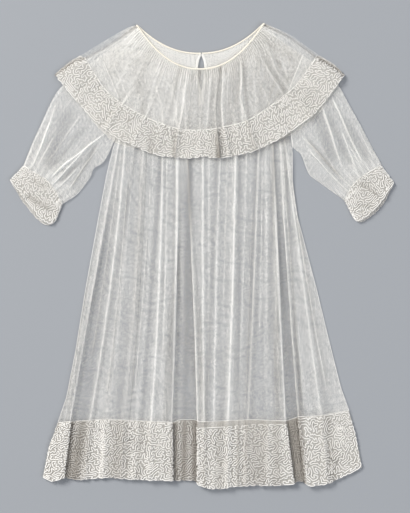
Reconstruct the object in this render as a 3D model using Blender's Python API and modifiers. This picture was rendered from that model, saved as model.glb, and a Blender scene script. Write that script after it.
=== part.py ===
# Christening gown of cotton net, laid flat on a surface with its front up.
# Tables and sizes are in millimetres, and MM turns them into metres when a mesh is made.
# +Y points from the hem to the neck, +X to the right as one looks at the front, and +Z up.

import math
from collections import namedtuple

import bmesh
import bpy
from mathutils import Vector
from mathutils.geometry import interpolate_bezier

MM = 0.001

# Walls, and the room between pieces that lie on or beside each other
NET_WALL = 1.0
BAND_WALL = 1.8
BACK_BAND_WALL = 1.6
CUFF_WALL = 1.6
SEAM_GAP = 0.3
ARMHOLE_GAP = 0.5

# Heights of the middle of each wall above the surface
BACK_OVER_BERTHA = 2.0
FRONT_OVER_BACK = 1.8
FRONT_AT_HEM = 3.3
BERTHA_AT_NECK = 5.6
BERTHA_OVER_BODY = 7.0
BERTHA_AT_SHOULDER = 2.0
BAND_AT_SHOULDER = 3.0
BERTHA_RISE = 8.0

# Neck opening: both necklines are one curve of different depth
NECK_CENTRE_X = -2.0
NECK_POINT_Y = 300.8
NECK_TILT = 1.1
NECK_HALF_WIDTH = 83.0
FRONT_NECK_DEPTH = 59.0
BACK_NECK_DEPTH = 38.5
NECK_CURVE_POWER = 2.2
NECK_STEPS = 60
NECK_FROM = 0.035
NECK_TO = 0.965
BINDING_RADIUS = 1.5
BINDING_END_GAP = 1.4
BINDING_FROM = 0.015
BINDING_TO = 0.985
BINDING_BACK_STEPS = 14
BINDING_FRONT_STEPS = 30
BINDING_TURN_STEPS = 4
BACK_BINDING_Z = BINDING_RADIUS
FRONT_BINDING_Z = 5.1

# Slit in the centre back, closed at the neck and gaping below it
SLIT_X = -1.0
SLIT_TOP_Y = 259.0
SLIT_BOTTOM_Y = 181.0
SLIT_HALF_GAP = 4.0
SLIT_WIDEST = 0.63
TAPE_WIDTH = 3.6
SLIT_DOWNS = (0.0, 0.07, 0.18, 0.36, 0.5, 0.68)
UNSLIT_REACH = 1.0
SLIT_SPREAD = 60.0

# Levels of the skirt's fold table
UNDERARM_Y = 148.5
MIDDLE_Y = -45.0
SEAM_Y = -213.0
HEM_Y = -292.0
BACK_HEM_SHORT = 1.0

# Scallops along the cord work
SCALLOP_DEPTH = 1.2
SCALLOP_LENGTH = 9.0
SCALLOP_UNEVENNESS = 0.137
FRONT_SCALLOP_START = 400.0
BACK_SCALLOP_START = 404.0

# Rows of the grids: the skirt's as parts of the way up from the seam, the others as parts down
SKIRT_LEVELS = (1.0, 0.85, 0.68, 0.52, 0.38, 0.25, 0.12, 0.0)
BACK_YOKE_DOWNS = (*SLIT_DOWNS, 0.84, 1.0)
HEM_BAND_DOWNS = (0.0, 0.33, 0.7, 1.0)
BACK_HEM_BAND_DOWNS = (0.0, 0.5, 1.0)
BERTHA_DOWNS = (0.0, 0.14, 0.38, 0.68, 1.0)
BACK_BERTHA_DOWNS = (0.0, 0.25, 0.5, 0.72, 1.0)
BACK_BERTHA_SLIT_ROWS = 4
BERTHA_BAND_DOWNS = (0.0, 0.5, 1.0)

# Columns of the plain grids; a half is one side of the slit
BACK_HALF_COLUMNS = 19
BACK_BERTHA_HALF_COLUMNS = 22
BACK_HEM_COLUMNS = 48
BACK_BERTHA_BAND_COLUMNS = 56

Side = namedtuple("Side", "y left right")
SIDES = (
    Side(150.0, -112.8, 117.3),
    Side(104.0, -123.8, 117.3),
    Side(59.0, -132.5, 123.0),
    Side(-45.0, -151.5, 149.3),
    Side(-123.0, -164.2, 167.0),
    Side(-182.0, -176.0, 180.8),
    Side(-213.0, -187.0, 190.8),
    Side(-244.0, -198.5, 199.5),
    Side(-300.0, -208.3, 209.0),
)

# Shoulder and armhole of the body, down from the neckline's end
Armhole = namedtuple("Armhole", "down left_x left_y right_x right_y")
ARMHOLES = (
    Armhole(0.36, -131.0, 260.0, 130.5, 260.0),
    Armhole(0.68, -108.5, 206.0, 109.0, 207.0),
    Armhole(1.0, -112.8, 148.5, 117.3, 140.0),
)

# Folds of the front skirt from left to right. A lap left or right is an S of three plies
# whose folded edge looks that way; a ridge is a soft fold. x is given at four levels, under
# is how far the middle ply reaches below the top one, and fill counts the plain points before it.
Fold = namedtuple("Fold", "kind top middle seam hem top_half seam_half top_rise seam_rise under fill")
FOLDS = (
    Fold("lap right", -107.5, -141.0, -170.2, -178.6, 2.5, 5.0, 1.0, 5.4, 7.0, 1),
    Fold("ridge", -99.0, -119.3, -145.3, -152.0, 3.0, 6.0, 1.2, 2.0, 0.0, 2),
    Fold("ridge", -88.0, -103.0, -123.0, -129.0, 4.0, 6.0, 1.2, 1.6, 0.0, 1),
    Fold("ridge", -75.0, -86.0, -101.0, -106.0, 4.0, 7.0, 1.4, 2.4, 0.0, 1),
    Fold("ridge", -62.5, -70.0, -83.0, -87.0, 3.5, 5.0, 1.2, 1.4, 0.0, 1),
    Fold("ridge", -50.8, -56.0, -65.5, -68.0, 4.0, 6.0, 1.2, 2.4, 0.0, 1),
    Fold("lap right", -32.0, -33.5, -38.5, -37.6, 5.0, 5.0, 1.4, 5.4, 12.0, 1),
    Fold("lap left", -20.0, -11.5, -6.5, -6.3, 4.0, 5.0, 1.4, 5.4, 12.0, 0),
    Fold("ridge", 1.6, 1.6, 2.6, 3.6, 3.5, 4.0, 1.2, 1.8, 0.0, 1),
    Fold("ridge", 24.0, 18.5, 15.5, 15.5, 4.0, 4.5, 1.2, 0.6, 0.0, 1),
    Fold("ridge", 43.9, 39.8, 34.0, 33.0, 5.0, 7.0, 1.6, 3.2, 0.0, 1),
    Fold("ridge", 59.0, 53.5, 47.0, 46.0, 3.5, 3.5, 1.2, 1.2, 0.0, 0),
    Fold("ridge", 74.0, 67.0, 59.5, 58.0, 4.0, 5.0, 1.5, 1.4, 0.0, 1),
    Fold("ridge", 84.0, 85.0, 85.0, 87.0, 3.5, 7.0, 1.4, 2.2, 0.0, 1),
    Fold("lap right", 94.0, 103.0, 111.6, 119.8, 3.0, 5.0, 1.2, 5.4, 12.0, 0),
    Fold("lap left", 102.0, 112.5, 124.4, 134.0, 2.5, 5.0, 1.0, 5.4, 8.0, 1),
    Fold("ridge", 108.5, 133.0, 154.5, 163.0, 2.0, 8.0, 0.8, 3.0, 0.0, 2),
)

# How far along the two levels a lap's S and a ridge reach, in parts of their size
Ply = namedtuple("Ply", "across plies soft_across soft_rise")
LAP_PLIES = (
    Ply(-1.1, 2.0, -1.0, 0.5),
    Ply(-0.35, 2.0, -0.4, 0.9),
    Ply(0.0, 1.5, 0.0, 1.0),
    Ply(-0.35, 1.0, 0.25, 0.8),
    Ply(0.35, 1.0, 0.45, 0.5),
    Ply(0.0, 0.5, 0.65, 0.25),
    Ply(0.35, 0.0, 0.85, 0.1),
    Ply(1.4, 0.0, 1.1, 0.0),
)
FIRST_UNDERCUT_PLY = 4
LAST_UNDERCUT_PLY = 6
LAP_FULL_RISE_AT = 0.6
LAP_SHUTS_FROM = 0.15
LAP_SHUTS_OVER = 0.75

# The front rises over the back's hem band on the last stretch above the seam
HEM_RAMP_FROM = 45.0
HEM_RAMP_LENGTH = 40.0

# Bottom of the hem and the seam above its band, from left to right
Drop = namedtuple("Drop", "x y")
HEM_DROPS = (
    Drop(-206.4, -288.3), Drop(-197.0, -294.0), Drop(-178.6, -288.0), Drop(-161.0, -291.0),
    Drop(-127.0, -288.0), Drop(-74.0, -291.0), Drop(-38.0, -291.5), Drop(-29.0, -292.0),
    Drop(-9.0, -292.0), Drop(-4.5, -297.0), Drop(11.0, -302.5), Drop(26.0, -302.6),
    Drop(45.0, -298.7), Drop(89.0, -298.0), Drop(118.0, -297.0), Drop(123.0, -292.5),
    Drop(131.0, -293.0), Drop(140.0, -299.0), Drop(164.0, -296.0), Drop(186.0, -285.5),
    Drop(206.4, -275.5),
)
SEAM_DROPS = (
    Drop(-190.0, -217.0), Drop(-122.0, -212.5), Drop(-59.0, -215.5), Drop(-36.0, -217.0),
    Drop(-30.0, -213.5), Drop(-9.0, -213.5), Drop(-4.0, -216.0), Drop(68.0, -213.0),
    Drop(110.0, -215.0), Drop(125.0, -209.5), Drop(154.0, -207.7), Drop(192.0, -201.2),
)

# Bertha, a deep cape collar: its shoulder lines and the two edges of its cord band
FRONT_SHOULDERS = (
    ((-106.0, 285.0), (-128.5, 270.5), (-152.5, 257.5)),
    ((111.5, 286.5), (132.0, 272.5), (149.5, 259.0)),
)
BACK_SHOULDERS = (
    ((-99.0, 294.6), (-128.0, 278.0), (-157.0, 260.0)),
    ((113.0, 287.5), (133.0, 273.5), (152.0, 260.0)),
)
FRONT_BAND_TOP = (
    (-152.5, 257.5), (-138.8, 235.0), (-119.5, 209.4), (-78.7, 182.3), (-32.8, 164.8), (2.9, 162.8),
    (34.0, 168.0), (64.0, 177.5), (109.5, 209.4), (131.0, 232.0), (149.5, 259.0),
)
FRONT_BAND_HEM = (
    (-191.8, 234.3), (-175.6, 214.5), (-153.5, 189.0), (-133.2, 168.6), (-112.8, 153.3), (-85.5, 139.8),
    (-58.2, 129.5), (-24.4, 125.3), (2.9, 127.2), (14.4, 125.3), (48.4, 129.5), (72.2, 136.4),
    (102.8, 151.6), (119.8, 163.5), (143.6, 180.6), (162.3, 202.7), (186.1, 234.0),
)
BACK_BAND_TOP = (
    (-157.0, 260.0), (-141.0, 234.0), (-119.5, 205.0), (-78.7, 178.0), (-32.8, 162.0), (2.9, 160.5),
    (34.0, 164.0), (64.0, 173.0), (109.5, 204.0), (133.0, 231.0), (152.0, 260.0),
)
BACK_BAND_HEM = (
    (-190.5, 236.0), (-172.0, 211.0), (-150.0, 184.0), (-128.0, 158.5), (-111.0, 145.5), (-85.0, 138.5),
    (-54.0, 130.0), (0.0, 127.5), (50.0, 131.0), (82.0, 141.5), (106.0, 152.0), (124.0, 161.0),
    (148.0, 180.0), (170.0, 210.0), (184.0, 235.5),
)
FRONT_TIPS = (((-170.0, 251.0), (-191.8, 234.3)), ((172.0, 246.0), (186.1, 234.0)))
BACK_TIPS = (((-172.5, 251.5), (-190.5, 236.0)), ((172.0, 248.0), (184.0, 235.5)))

# Folds that fan out over the front bertha; neck and edge are parts of each line's length
BerthaFold = namedtuple("BerthaFold", "neck edge half rise")
BERTHA_FOLDS = (
    BerthaFold(0.06, 0.095, 0.014, 1.2),
    BerthaFold(0.16, 0.185, 0.012, 1.8),
    BerthaFold(0.26, 0.280, 0.013, 2.2),
    BerthaFold(0.33, 0.355, 0.011, 1.6),
    BerthaFold(0.41, 0.425, 0.013, 2.6),
    BerthaFold(0.49, 0.492, 0.011, 1.4),
    BerthaFold(0.60, 0.560, 0.014, 4.0),
    BerthaFold(0.66, 0.610, 0.011, 1.8),
    BerthaFold(0.76, 0.672, 0.012, 2.2),
    BerthaFold(0.84, 0.760, 0.012, 1.8),
    BerthaFold(0.91, 0.845, 0.013, 2.6),
    BerthaFold(0.95, 0.925, 0.012, 1.4),
)
BERTHA_FILL = 4
BERTHA_FAN_END = 0.7
BERTHA_LIFT_END = 0.33
BERTHA_FOLD_AT_NECK = 0.3
BERTHA_GATHER = 0.35
YOKE_GATHER = 0.2

# Sleeves, cuffs and their seams; outer is the line under the shoulder tip
LEFT_SLEEVE_OUTER = (
    (-131.0, 260.0), (-156.0, 241.0), (-181.0, 221.0), (-194.3, 202.7), (-207.9, 173.7), (-219.8, 148.2),
    (-227.8, 128.3), (-232.0, 117.4),
)
LEFT_SLEEVE_INNER = (
    (-112.8, 148.5), (-126.4, 122.5), (-140.1, 112.7), (-144.0, 103.0), (-151.8, 91.3), (-160.9, 80.1),
    (-171.3, 72.2), (-180.8, 66.5),
)
LEFT_CUFF_SEAM = ((-232.0, 117.4), (-213.0, 105.0), (-196.5, 93.0), (-180.8, 66.5))
LEFT_CUFF_EDGE = (
    (-250.0, 98.5), (-240.5, 81.0), (-229.0, 64.5), (-213.5, 45.5), (-199.5, 39.5), (-189.0, 45.5),
)
RIGHT_SLEEVE_OUTER = (
    (130.5, 260.0), (155.0, 242.0), (176.7, 221.3), (191.2, 195.8), (208.2, 165.4), (223.4, 136.4),
    (230.4, 124.4), (233.4, 117.5),
)
RIGHT_SLEEVE_INNER = (
    (117.3, 140.0), (123.8, 134.5), (129.0, 129.5), (138.4, 105.7), (150.2, 95.9), (166.5, 84.1),
    (175.8, 77.6), (184.7, 70.7),
)
RIGHT_CUFF_SEAM = ((233.4, 117.5), (215.0, 107.5), (196.0, 92.0), (184.7, 70.7))
RIGHT_CUFF_EDGE = (
    (250.0, 95.0), (244.5, 82.5), (233.0, 63.0), (218.5, 48.5), (204.0, 43.0), (196.0, 49.0),
)

# Heights of the flattened sleeve and cuff tubes, and where down the sleeve each sets in
SLEEVE_EDGE_HEIGHT = 2.8
SLEEVE_HEIGHT_UNDER_BERTHA = 3.8
SLEEVE_HEIGHT = 7.0
CUFF_EDGE_HEIGHT = 4.2
CUFF_HEIGHT = 6.6
CUFF_GATHER = 1.3
GATHER_UNEVENNESS = 2.1
TUBE_CROWN = 0.7
FREE_OF_BERTHA_FROM = 0.3
CUFF_HEIGHT_FROM = 0.8
CUFF_EDGE_FROM = 0.7
GATHER_FROM = 0.25
GATHER_OVER = 0.5
CUFF_LIP = 4.5
CUFF_SCALLOP_STRETCH = 1.3
CUFF_SEAM_ROOM = 0.5
TUBE_TOP_POINTS = 14
TUBE_BOTTOM_POINTS = 8
SLEEVE_RINGS = 9
CUFF_RINGS = 3

# The back bertha under the body and sleeves: the cloth over it comes down to the surface
# between these distances outside the bertha's hem
RAMP_START = 38.0
RAMP_END = 72.0

NET_COLOUR = (0.78, 0.77, 0.74)
CORD_COLOUR = (0.86, 0.83, 0.77)
BINDING_COLOUR = (0.82, 0.78, 0.68)
TAPE_COLOUR = (0.88, 0.87, 0.84)


def smooth(value):
    part = min(1.0, max(0.0, value))
    return part * part * (3.0 - 2.0 * part)


def mix(start, end, part):
    return start + (end - start) * part


def table_value(rows, key, name, value):
    # Straight-line reading of one named column against another, in either direction
    ordered = sorted(rows, key=lambda row: getattr(row, key))
    if value <= getattr(ordered[0], key):
        return getattr(ordered[0], name)
    for low, high in zip(ordered, ordered[1:]):
        if value <= getattr(high, key):
            part = (value - getattr(low, key)) / (getattr(high, key) - getattr(low, key))
            return mix(getattr(low, name), getattr(high, name), part)
    return getattr(ordered[-1], name)


class Path:
    # A plan line read by the fraction of its length

    def __init__(self, points, curved=True):
        knots = [Vector(point) for point in points]
        self.points = knots
        if curved and len(knots) > 2:
            self.points = self.curve_through(knots)
        self.lengths = [0.0]
        for start, end in zip(self.points, self.points[1:]):
            self.lengths.append(self.lengths[-1] + (end - start).length)

    @staticmethod
    def curve_through(knots, steps=9):
        padded = [knots[0]] + knots + [knots[-1]]
        dense = [knots[0]]
        for before, start, end, after in zip(padded, padded[1:], padded[2:], padded[3:]):
            handle_out = start + (end - before) / 6.0
            handle_in = end - (after - start) / 6.0
            dense.extend(interpolate_bezier(start, handle_out, handle_in, end, steps)[1:])
        return dense

    def at(self, fraction):
        target = fraction * self.lengths[-1]
        for index in range(1, len(self.lengths)):
            if target <= self.lengths[index] or index == len(self.lengths) - 1:
                span = self.lengths[index] - self.lengths[index - 1]
                part = (target - self.lengths[index - 1]) / span
                return self.points[index - 1].lerp(self.points[index], part)

    def moved(self, distance):
        # The same line moved to its right-hand side as one walks along it
        shifted = []
        for index, point in enumerate(self.points):
            before = self.points[max(0, index - 1)]
            after = self.points[min(len(self.points) - 1, index + 1)]
            walk = (after - before).normalized()
            shifted.append(point + distance * Vector((walk.y, -walk.x)))
        return Path(shifted, curved=False)


def panel_point(top, bottom, left, right, across, down):
    # Point of a four-sided panel, worked out from functions for its four edges
    ruled = top(across).lerp(bottom(across), down) + left(down).lerp(right(down), across)
    upper = top(0.0).lerp(top(1.0), across)
    lower = bottom(0.0).lerp(bottom(1.0), across)
    return ruled - upper.lerp(lower, down)


def make_material(name, colour, roughness):
    material = bpy.data.materials.new(name)
    material.use_nodes = True
    shader = material.node_tree.nodes["Principled BSDF"]
    shader.inputs["Base Color"].default_value = (*colour, 1.0)
    shader.inputs["Roughness"].default_value = roughness
    shader.inputs["Metallic"].default_value = 0.0
    return material


def finish_object(name, mesh, material, collection):
    mesh.materials.append(material)
    mesh.shade_smooth()
    made = bpy.data.objects.new(name, mesh)
    collection.objects.link(made)
    return made


def grid_mesh(name, columns, rows, place, joined=False, left_out=None):
    # A grid whose point (column, row) is moved to place(column, row); row 0 is the top one
    sheet = bmesh.new()
    bmesh.ops.create_grid(sheet, x_segments=columns - 1, y_segments=rows - 1, size=1.0)
    cells = {}
    for point in sheet.verts:
        column = round((point.co.x + 1.0) / 2.0 * (columns - 1))
        row = round((1.0 - point.co.y) / 2.0 * (rows - 1))
        cells[point] = (column, row)
    if left_out:
        gone = [face for face in sheet.faces if left_out([cells[point] for point in face.verts])]
        bmesh.ops.delete(sheet, geom=gone, context="FACES")
    for point in sheet.verts:
        point.co = Vector(place(*cells[point])) * MM
    if joined:
        bmesh.ops.remove_doubles(sheet, verts=sheet.verts, dist=0.00001)
    mesh = bpy.data.meshes.new(name)
    sheet.to_mesh(mesh)
    sheet.free()
    return mesh


def add_wall(made, wall, side):
    solid = made.modifiers.new("Wall", "SOLIDIFY")
    solid.thickness = wall * MM
    solid.offset = side
    solid.use_quality_normals = True
    return made


def neckline(depth, outset):
    # One neckline from left to right, moved out from the opening by outset
    points = []
    for step in range(NECK_STEPS + 1):
        part = 2.0 * step / NECK_STEPS - 1.0
        drop = depth * (1.0 - abs(part) ** NECK_CURVE_POWER) - NECK_TILT * part
        points.append((NECK_CENTRE_X + NECK_HALF_WIDTH * part, NECK_POINT_Y - drop))
    return Path(points, curved=False).moved(outset)


def slit_half_gap(y):
    # Half the width of the slit: shut at the neck, widest a third of the way down
    part = (SLIT_TOP_Y - y) / (SLIT_TOP_Y - SLIT_BOTTOM_Y)
    if part <= 0.0 or part >= 1.0:
        return 0.0
    return SLIT_HALF_GAP * math.sin(math.pi * part ** SLIT_WIDEST)


def is_above(line, point):
    # Whether a point lies on the neck's side of a line that runs from left to right
    for start, end in zip(line.points, line.points[1:]):
        if start.x <= point.x <= end.x:
            return point.y > mix(start.y, end.y, (point.x - start.x) / (end.x - start.x))
    return False


def lift_over_back_bertha(point, hem):
    # Height that the back bertha gives to cloth on top of it, gone beyond the ramp
    distance = min((other - point).length for other in hem.points)
    if is_above(hem, point) or distance < RAMP_START:
        return BACK_OVER_BERTHA
    return BACK_OVER_BERTHA * (1.0 - smooth((distance - RAMP_START) / (RAMP_END - RAMP_START)))


def scallop(length):
    wave = math.sin(math.pi * length / SCALLOP_LENGTH) ** 2
    uneven = 0.65 + 0.35 * math.sin(length * SCALLOP_UNEVENNESS)
    return SCALLOP_DEPTH * wave * uneven


def fold_x(fold, y):
    # Place of a fold: a parabola through its upper three levels, straight below the seam
    if y < SEAM_Y:
        return mix(fold.seam, fold.hem, (SEAM_Y - y) / (SEAM_Y - HEM_Y))
    level_ys = (UNDERARM_Y, MIDDLE_Y, SEAM_Y)
    level_xs = (fold.top, fold.middle, fold.seam)
    total = 0.0
    for index, x in enumerate(level_xs):
        weight = 1.0
        for other, other_y in enumerate(level_ys):
            if other != index:
                weight *= (y - other_y) / (level_ys[index] - other_y)
        total += x * weight
    return total


def lap_size(fold, down):
    # Height of a lapped pleat, and how far it has closed into an S
    rise = mix(fold.top_rise, fold.seam_rise, smooth(down / LAP_FULL_RISE_AT))
    return rise, smooth((down - LAP_SHUTS_FROM) / LAP_SHUTS_OVER)


def lap_knots(fold, points, y, down):
    # Where the panel beside a lap keeps its height, (x, height, kept until the next knot)
    rise, shut = lap_size(fold, down)
    reach = fold.under * shut + rise / 2.0
    (first_x, first), (last_x, last) = points[0], points[-1]
    if fold.kind == "lap right":
        kept_x = min(first_x, fold_x(fold, y) - reach)
        return [(kept_x, first, True), (first_x, first, True), (last_x, last, False)]
    kept_x = max(last_x, fold_x(fold, y) + reach)
    return [(first_x, first, True), (last_x, last, True), (kept_x, last, False)]


def lap_points(fold, y, down):
    # The eight points of one lapped pleat, from a soft fold above to an S of plies below
    half = mix(fold.top_half, fold.seam_half, down)
    rise, shut = lap_size(fold, down)
    pitch = rise / 2.0
    points = []
    for index, ply in enumerate(LAP_PLIES):
        lapped = ply.across * pitch
        if FIRST_UNDERCUT_PLY <= index <= LAST_UNDERCUT_PLY:
            lapped -= fold.under
        across = mix(ply.soft_across * half, lapped, shut)
        height = mix(ply.soft_rise * rise, ply.plies * pitch, shut)
        points.append((across, height))
    if fold.kind == "lap left":
        points = [(-across, height) for across, height in reversed(points)]
    centre = fold_x(fold, y)
    return [(centre + across, height) for across, height in points]


def panel_level(knots, x):
    # Height of the cloth between two laps: high at a lapped edge and low away from it
    for (start_x, start, kept), (end_x, end, _) in zip(knots, knots[1:]):
        if x <= end_x and end_x > start_x:
            part = min(1.0, max(0.0, (x - start_x) / (end_x - start_x)))
            if kept:
                return mix(start, end, part)
            return start * (1.0 - part) ** 2 + end * part ** 2
    return knots[-1][1]


def front_section(y):
    # Points (x, height) across the front skirt at one level, always the same number of them
    down = min(1.0, max(0.0, (UNDERARM_Y - y) / (UNDERARM_Y - SEAM_Y)))
    edge_left = table_value(SIDES, "y", "left", y)
    edge_right = table_value(SIDES, "y", "right", y)
    laps = {}
    knots = [(edge_left, 0.0, False)]
    for fold in FOLDS:
        if fold.kind != "ridge":
            laps[fold] = lap_points(fold, y, down)
            knots.extend(lap_knots(fold, laps[fold], y, down))
    knots.append((edge_right, 0.0, False))
    section = [(edge_left, 0.0)]
    for fold in FOLDS:
        if fold.kind == "ridge":
            centre = fold_x(fold, y)
            half = mix(fold.top_half, fold.seam_half, down)
            rise = mix(fold.top_rise, fold.seam_rise, down)
            shape = ((-half, 0.0), (0.0, rise), (half, 0.0))
            stations = [(centre + x, panel_level(knots, centre + x) + z) for x, z in shape]
        else:
            stations = laps[fold]
        add_span(section, stations[0][0], fold.fill, knots)
        section.extend(stations)
    add_span(section, edge_right, 2, knots)
    section.append((edge_right, 0.0))
    return section


def add_span(section, end_x, count, knots):
    # Plain points between two folds
    start_x = section[-1][0]
    for step in range(count):
        x = mix(start_x, end_x, (step + 1) / (count + 1))
        section.append((x, panel_level(knots, x)))


def front_base(point, back_hem):
    # Middle of the front's wall where no fold lifts it: over the back, then over the back's hem band
    over_hem = smooth((SEAM_Y + HEM_RAMP_FROM - point.y) / HEM_RAMP_LENGTH)
    over_back = FRONT_OVER_BACK + lift_over_back_bertha(point, back_hem)
    return mix(over_back, FRONT_AT_HEM, over_hem)


def skirt_point(section, column, down, top_y, shift):
    # Point of the front at one column, between the underarm and the hem seam
    x, height = section[column]
    seam_y = table_value(SEAM_DROPS, "x", "y", x) + shift
    y = mix(top_y, seam_y, down)
    return x, y, height


def armhole_side(neck_point, side):
    # The body's shoulder and armhole as a function of how far down it one is
    rows = [Vector(neck_point)]
    downs = [0.0]
    for row in ARMHOLES:
        rows.append(Vector((getattr(row, side + "_x"), getattr(row, side + "_y"))))
        downs.append(row.down)

    def point(down):
        for index in range(1, len(downs)):
            if down <= downs[index]:
                part = (down - downs[index - 1]) / (downs[index] - downs[index - 1])
                return rows[index - 1].lerp(rows[index], part)
        return rows[-1]

    return point


def build_body_front(material, collection):
    underarm = front_section(UNDERARM_Y)
    left_x, right_x = underarm[0][0], underarm[-1][0]
    neck = neckline(FRONT_NECK_DEPTH, BINDING_RADIUS + SEAM_GAP)
    left = armhole_side(neck.at(NECK_FROM), "left")
    right = armhole_side(neck.at(NECK_TO), "right")
    back_hem = Path(BACK_BAND_HEM)
    yoke_downs = [0.0] + [row.down for row in ARMHOLES]
    skirt_rows = len(SKIRT_LEVELS) - 1
    sections = []
    for level in SKIRT_LEVELS[1:]:
        sections.append(front_section(mix(SEAM_Y, UNDERARM_Y, level)))

    def place(column, row):
        part = (underarm[column][0] - left_x) / (right_x - left_x)
        if row < len(yoke_downs):
            point = panel_point(
                lambda along: neck.at(mix(NECK_FROM, NECK_TO, along)),
                lambda along: left(1.0).lerp(right(1.0), along),
                left, right, part, yoke_downs[row],
            )
            height = underarm[column][1] * yoke_downs[row] ** 2
            height += YOKE_GATHER * (column % 2) * (1.0 - yoke_downs[row])
            return point.x, point.y, front_base(point, back_hem) + height
        level = row - len(yoke_downs)
        down = 1.0 - SKIRT_LEVELS[level + 1]
        top_y = left(1.0).lerp(right(1.0), part).y
        x, y, height = skirt_point(sections[level], column, down, top_y, SEAM_GAP / 2.0)
        return x, y, front_base(Vector((x, y)), back_hem) + height

    mesh = grid_mesh("body_front", len(underarm), len(yoke_downs) + skirt_rows, place)
    made = finish_object("body_front", mesh, material, collection)
    return add_wall(made, NET_WALL, 0.0)


def build_hem_band_front(material, collection):
    sections = [front_section(mix(SEAM_Y, HEM_Y, down)) for down in HEM_BAND_DOWNS]

    def place(column, row):
        x, height = sections[row][column]
        top_y = table_value(SEAM_DROPS, "x", "y", x) - SEAM_GAP / 2.0
        bottom_y = table_value(HEM_DROPS, "x", "y", x) - SCALLOP_DEPTH + scallop(x + FRONT_SCALLOP_START)
        return x, mix(top_y, bottom_y, HEM_BAND_DOWNS[row]), FRONT_AT_HEM + height

    mesh = grid_mesh("hem_band_front", len(sections[0]), len(HEM_BAND_DOWNS), place)
    made = finish_object("hem_band_front", mesh, material, collection)
    return add_wall(made, BAND_WALL, 0.0)


def back_seam_y(x):
    # The back's hem seam runs straight between the side seams
    first, last = SEAM_DROPS[0], SEAM_DROPS[-1]
    return mix(first.y, last.y, (x - first.x) / (last.x - first.x))


def back_yoke():
    # The back above the underarms, as a function of how far across and down one is
    neck = neckline(BACK_NECK_DEPTH, BINDING_RADIUS + SEAM_GAP)
    left = armhole_side(neck.at(NECK_FROM), "left")
    right = armhole_side(neck.at(NECK_TO), "right")

    def point(across, down):
        return panel_point(
            lambda part: neck.at(mix(NECK_FROM, NECK_TO, part)),
            lambda part: left(1.0).lerp(right(1.0), part),
            left, right, across, down,
        )

    return point


def halved_column(column, half_count):
    # Side of the slit, part of the way from the side seam to it, and part of the whole width
    side = -1.0 if column < half_count else 1.0
    inward = column if side < 0.0 else 2 * half_count - 1 - column
    part = inward / (half_count - 1)
    return side, part, 0.5 * part if side < 0.0 else 1.0 - 0.5 * part


def opened(x, side, reach):
    # x moved away from the slit, less and less up to SLIT_SPREAD from it
    offset = max(0.0, side * (x - SLIT_X))
    if offset < SLIT_SPREAD:
        offset = reach + offset * (SLIT_SPREAD - reach) / SLIT_SPREAD
    return SLIT_X + side * offset


def crosses_slit(corners, half_count, slit_rows):
    # Whether a face of the grid lies in the slit's strip
    columns = {column for column, row in corners}
    last_row = max(row for column, row in corners)
    return columns == {half_count - 1, half_count} and last_row < slit_rows


def build_body_back(material, collection):
    # The slit's two columns run down the centre, and the strip between them is left out
    half_count = BACK_HALF_COLUMNS
    yoke = back_yoke()
    back_hem = Path(BACK_BAND_HEM)
    yoke_rows = len(BACK_YOKE_DOWNS)
    levels = SKIRT_LEVELS[1:]

    def place(column, row):
        side, part, across = halved_column(column, half_count)
        if row < yoke_rows:
            point = yoke(across, BACK_YOKE_DOWNS[row])
        else:
            level = levels[row - yoke_rows]
            level_y = mix(SEAM_Y, UNDERARM_Y, level)
            left_x = table_value(SIDES, "y", "left", level_y)
            x = mix(left_x, table_value(SIDES, "y", "right", level_y), across)
            point = Vector((x, mix(back_seam_y(x) + SEAM_GAP / 2.0, yoke(across, 1.0).y, level)))
        if part == 1.0:
            point.x = SLIT_X
        reach = UNSLIT_REACH
        if row < len(SLIT_DOWNS):
            reach = slit_half_gap(yoke(0.5, SLIT_DOWNS[row]).y) + TAPE_WIDTH + SEAM_GAP
        point.x = opened(point.x, side, reach)
        return point.x, point.y, lift_over_back_bertha(point, back_hem)

    mesh = grid_mesh(
        "body_back", 2 * half_count, yoke_rows + len(levels), place,
        left_out=lambda corners: crosses_slit(corners, half_count, len(SLIT_DOWNS)),
    )
    made = finish_object("body_back", mesh, material, collection)
    return add_wall(made, NET_WALL, 1.0)


def build_hem_band_back(material, collection):

    def place(column, row):
        down = BACK_HEM_BAND_DOWNS[row]
        y = mix(SEAM_Y, HEM_Y, down)
        across = column / (BACK_HEM_COLUMNS - 1)
        x = mix(table_value(SIDES, "y", "left", y), table_value(SIDES, "y", "right", y), across)
        top_y = back_seam_y(x) - SEAM_GAP / 2.0
        bottom_y = table_value(HEM_DROPS, "x", "y", x) + BACK_HEM_SHORT + scallop(x + BACK_SCALLOP_START)
        return x, mix(top_y, bottom_y, down), 0.0

    mesh = grid_mesh("hem_band_back", BACK_HEM_COLUMNS, len(BACK_HEM_BAND_DOWNS), place)
    made = finish_object("hem_band_back", mesh, material, collection)
    return add_wall(made, BAND_WALL, 1.0)


def build_tape(name, side, material, collection):
    # Narrow tape that binds one edge of the slit
    yoke = back_yoke()

    def place(column, row):
        y = yoke(0.5, SLIT_DOWNS[row]).y
        inner = SLIT_X + side * (slit_half_gap(y) + SEAM_GAP / 2.0)
        outer = SLIT_X + side * (slit_half_gap(y) + TAPE_WIDTH)
        x = (inner, outer)[column] if side > 0.0 else (outer, inner)[column]
        return x, y, BACK_OVER_BERTHA

    mesh = grid_mesh(name, 2, len(SLIT_DOWNS), place)
    made = finish_object(name, mesh, material, collection)
    return add_wall(made, NET_WALL, 1.0)


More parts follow.
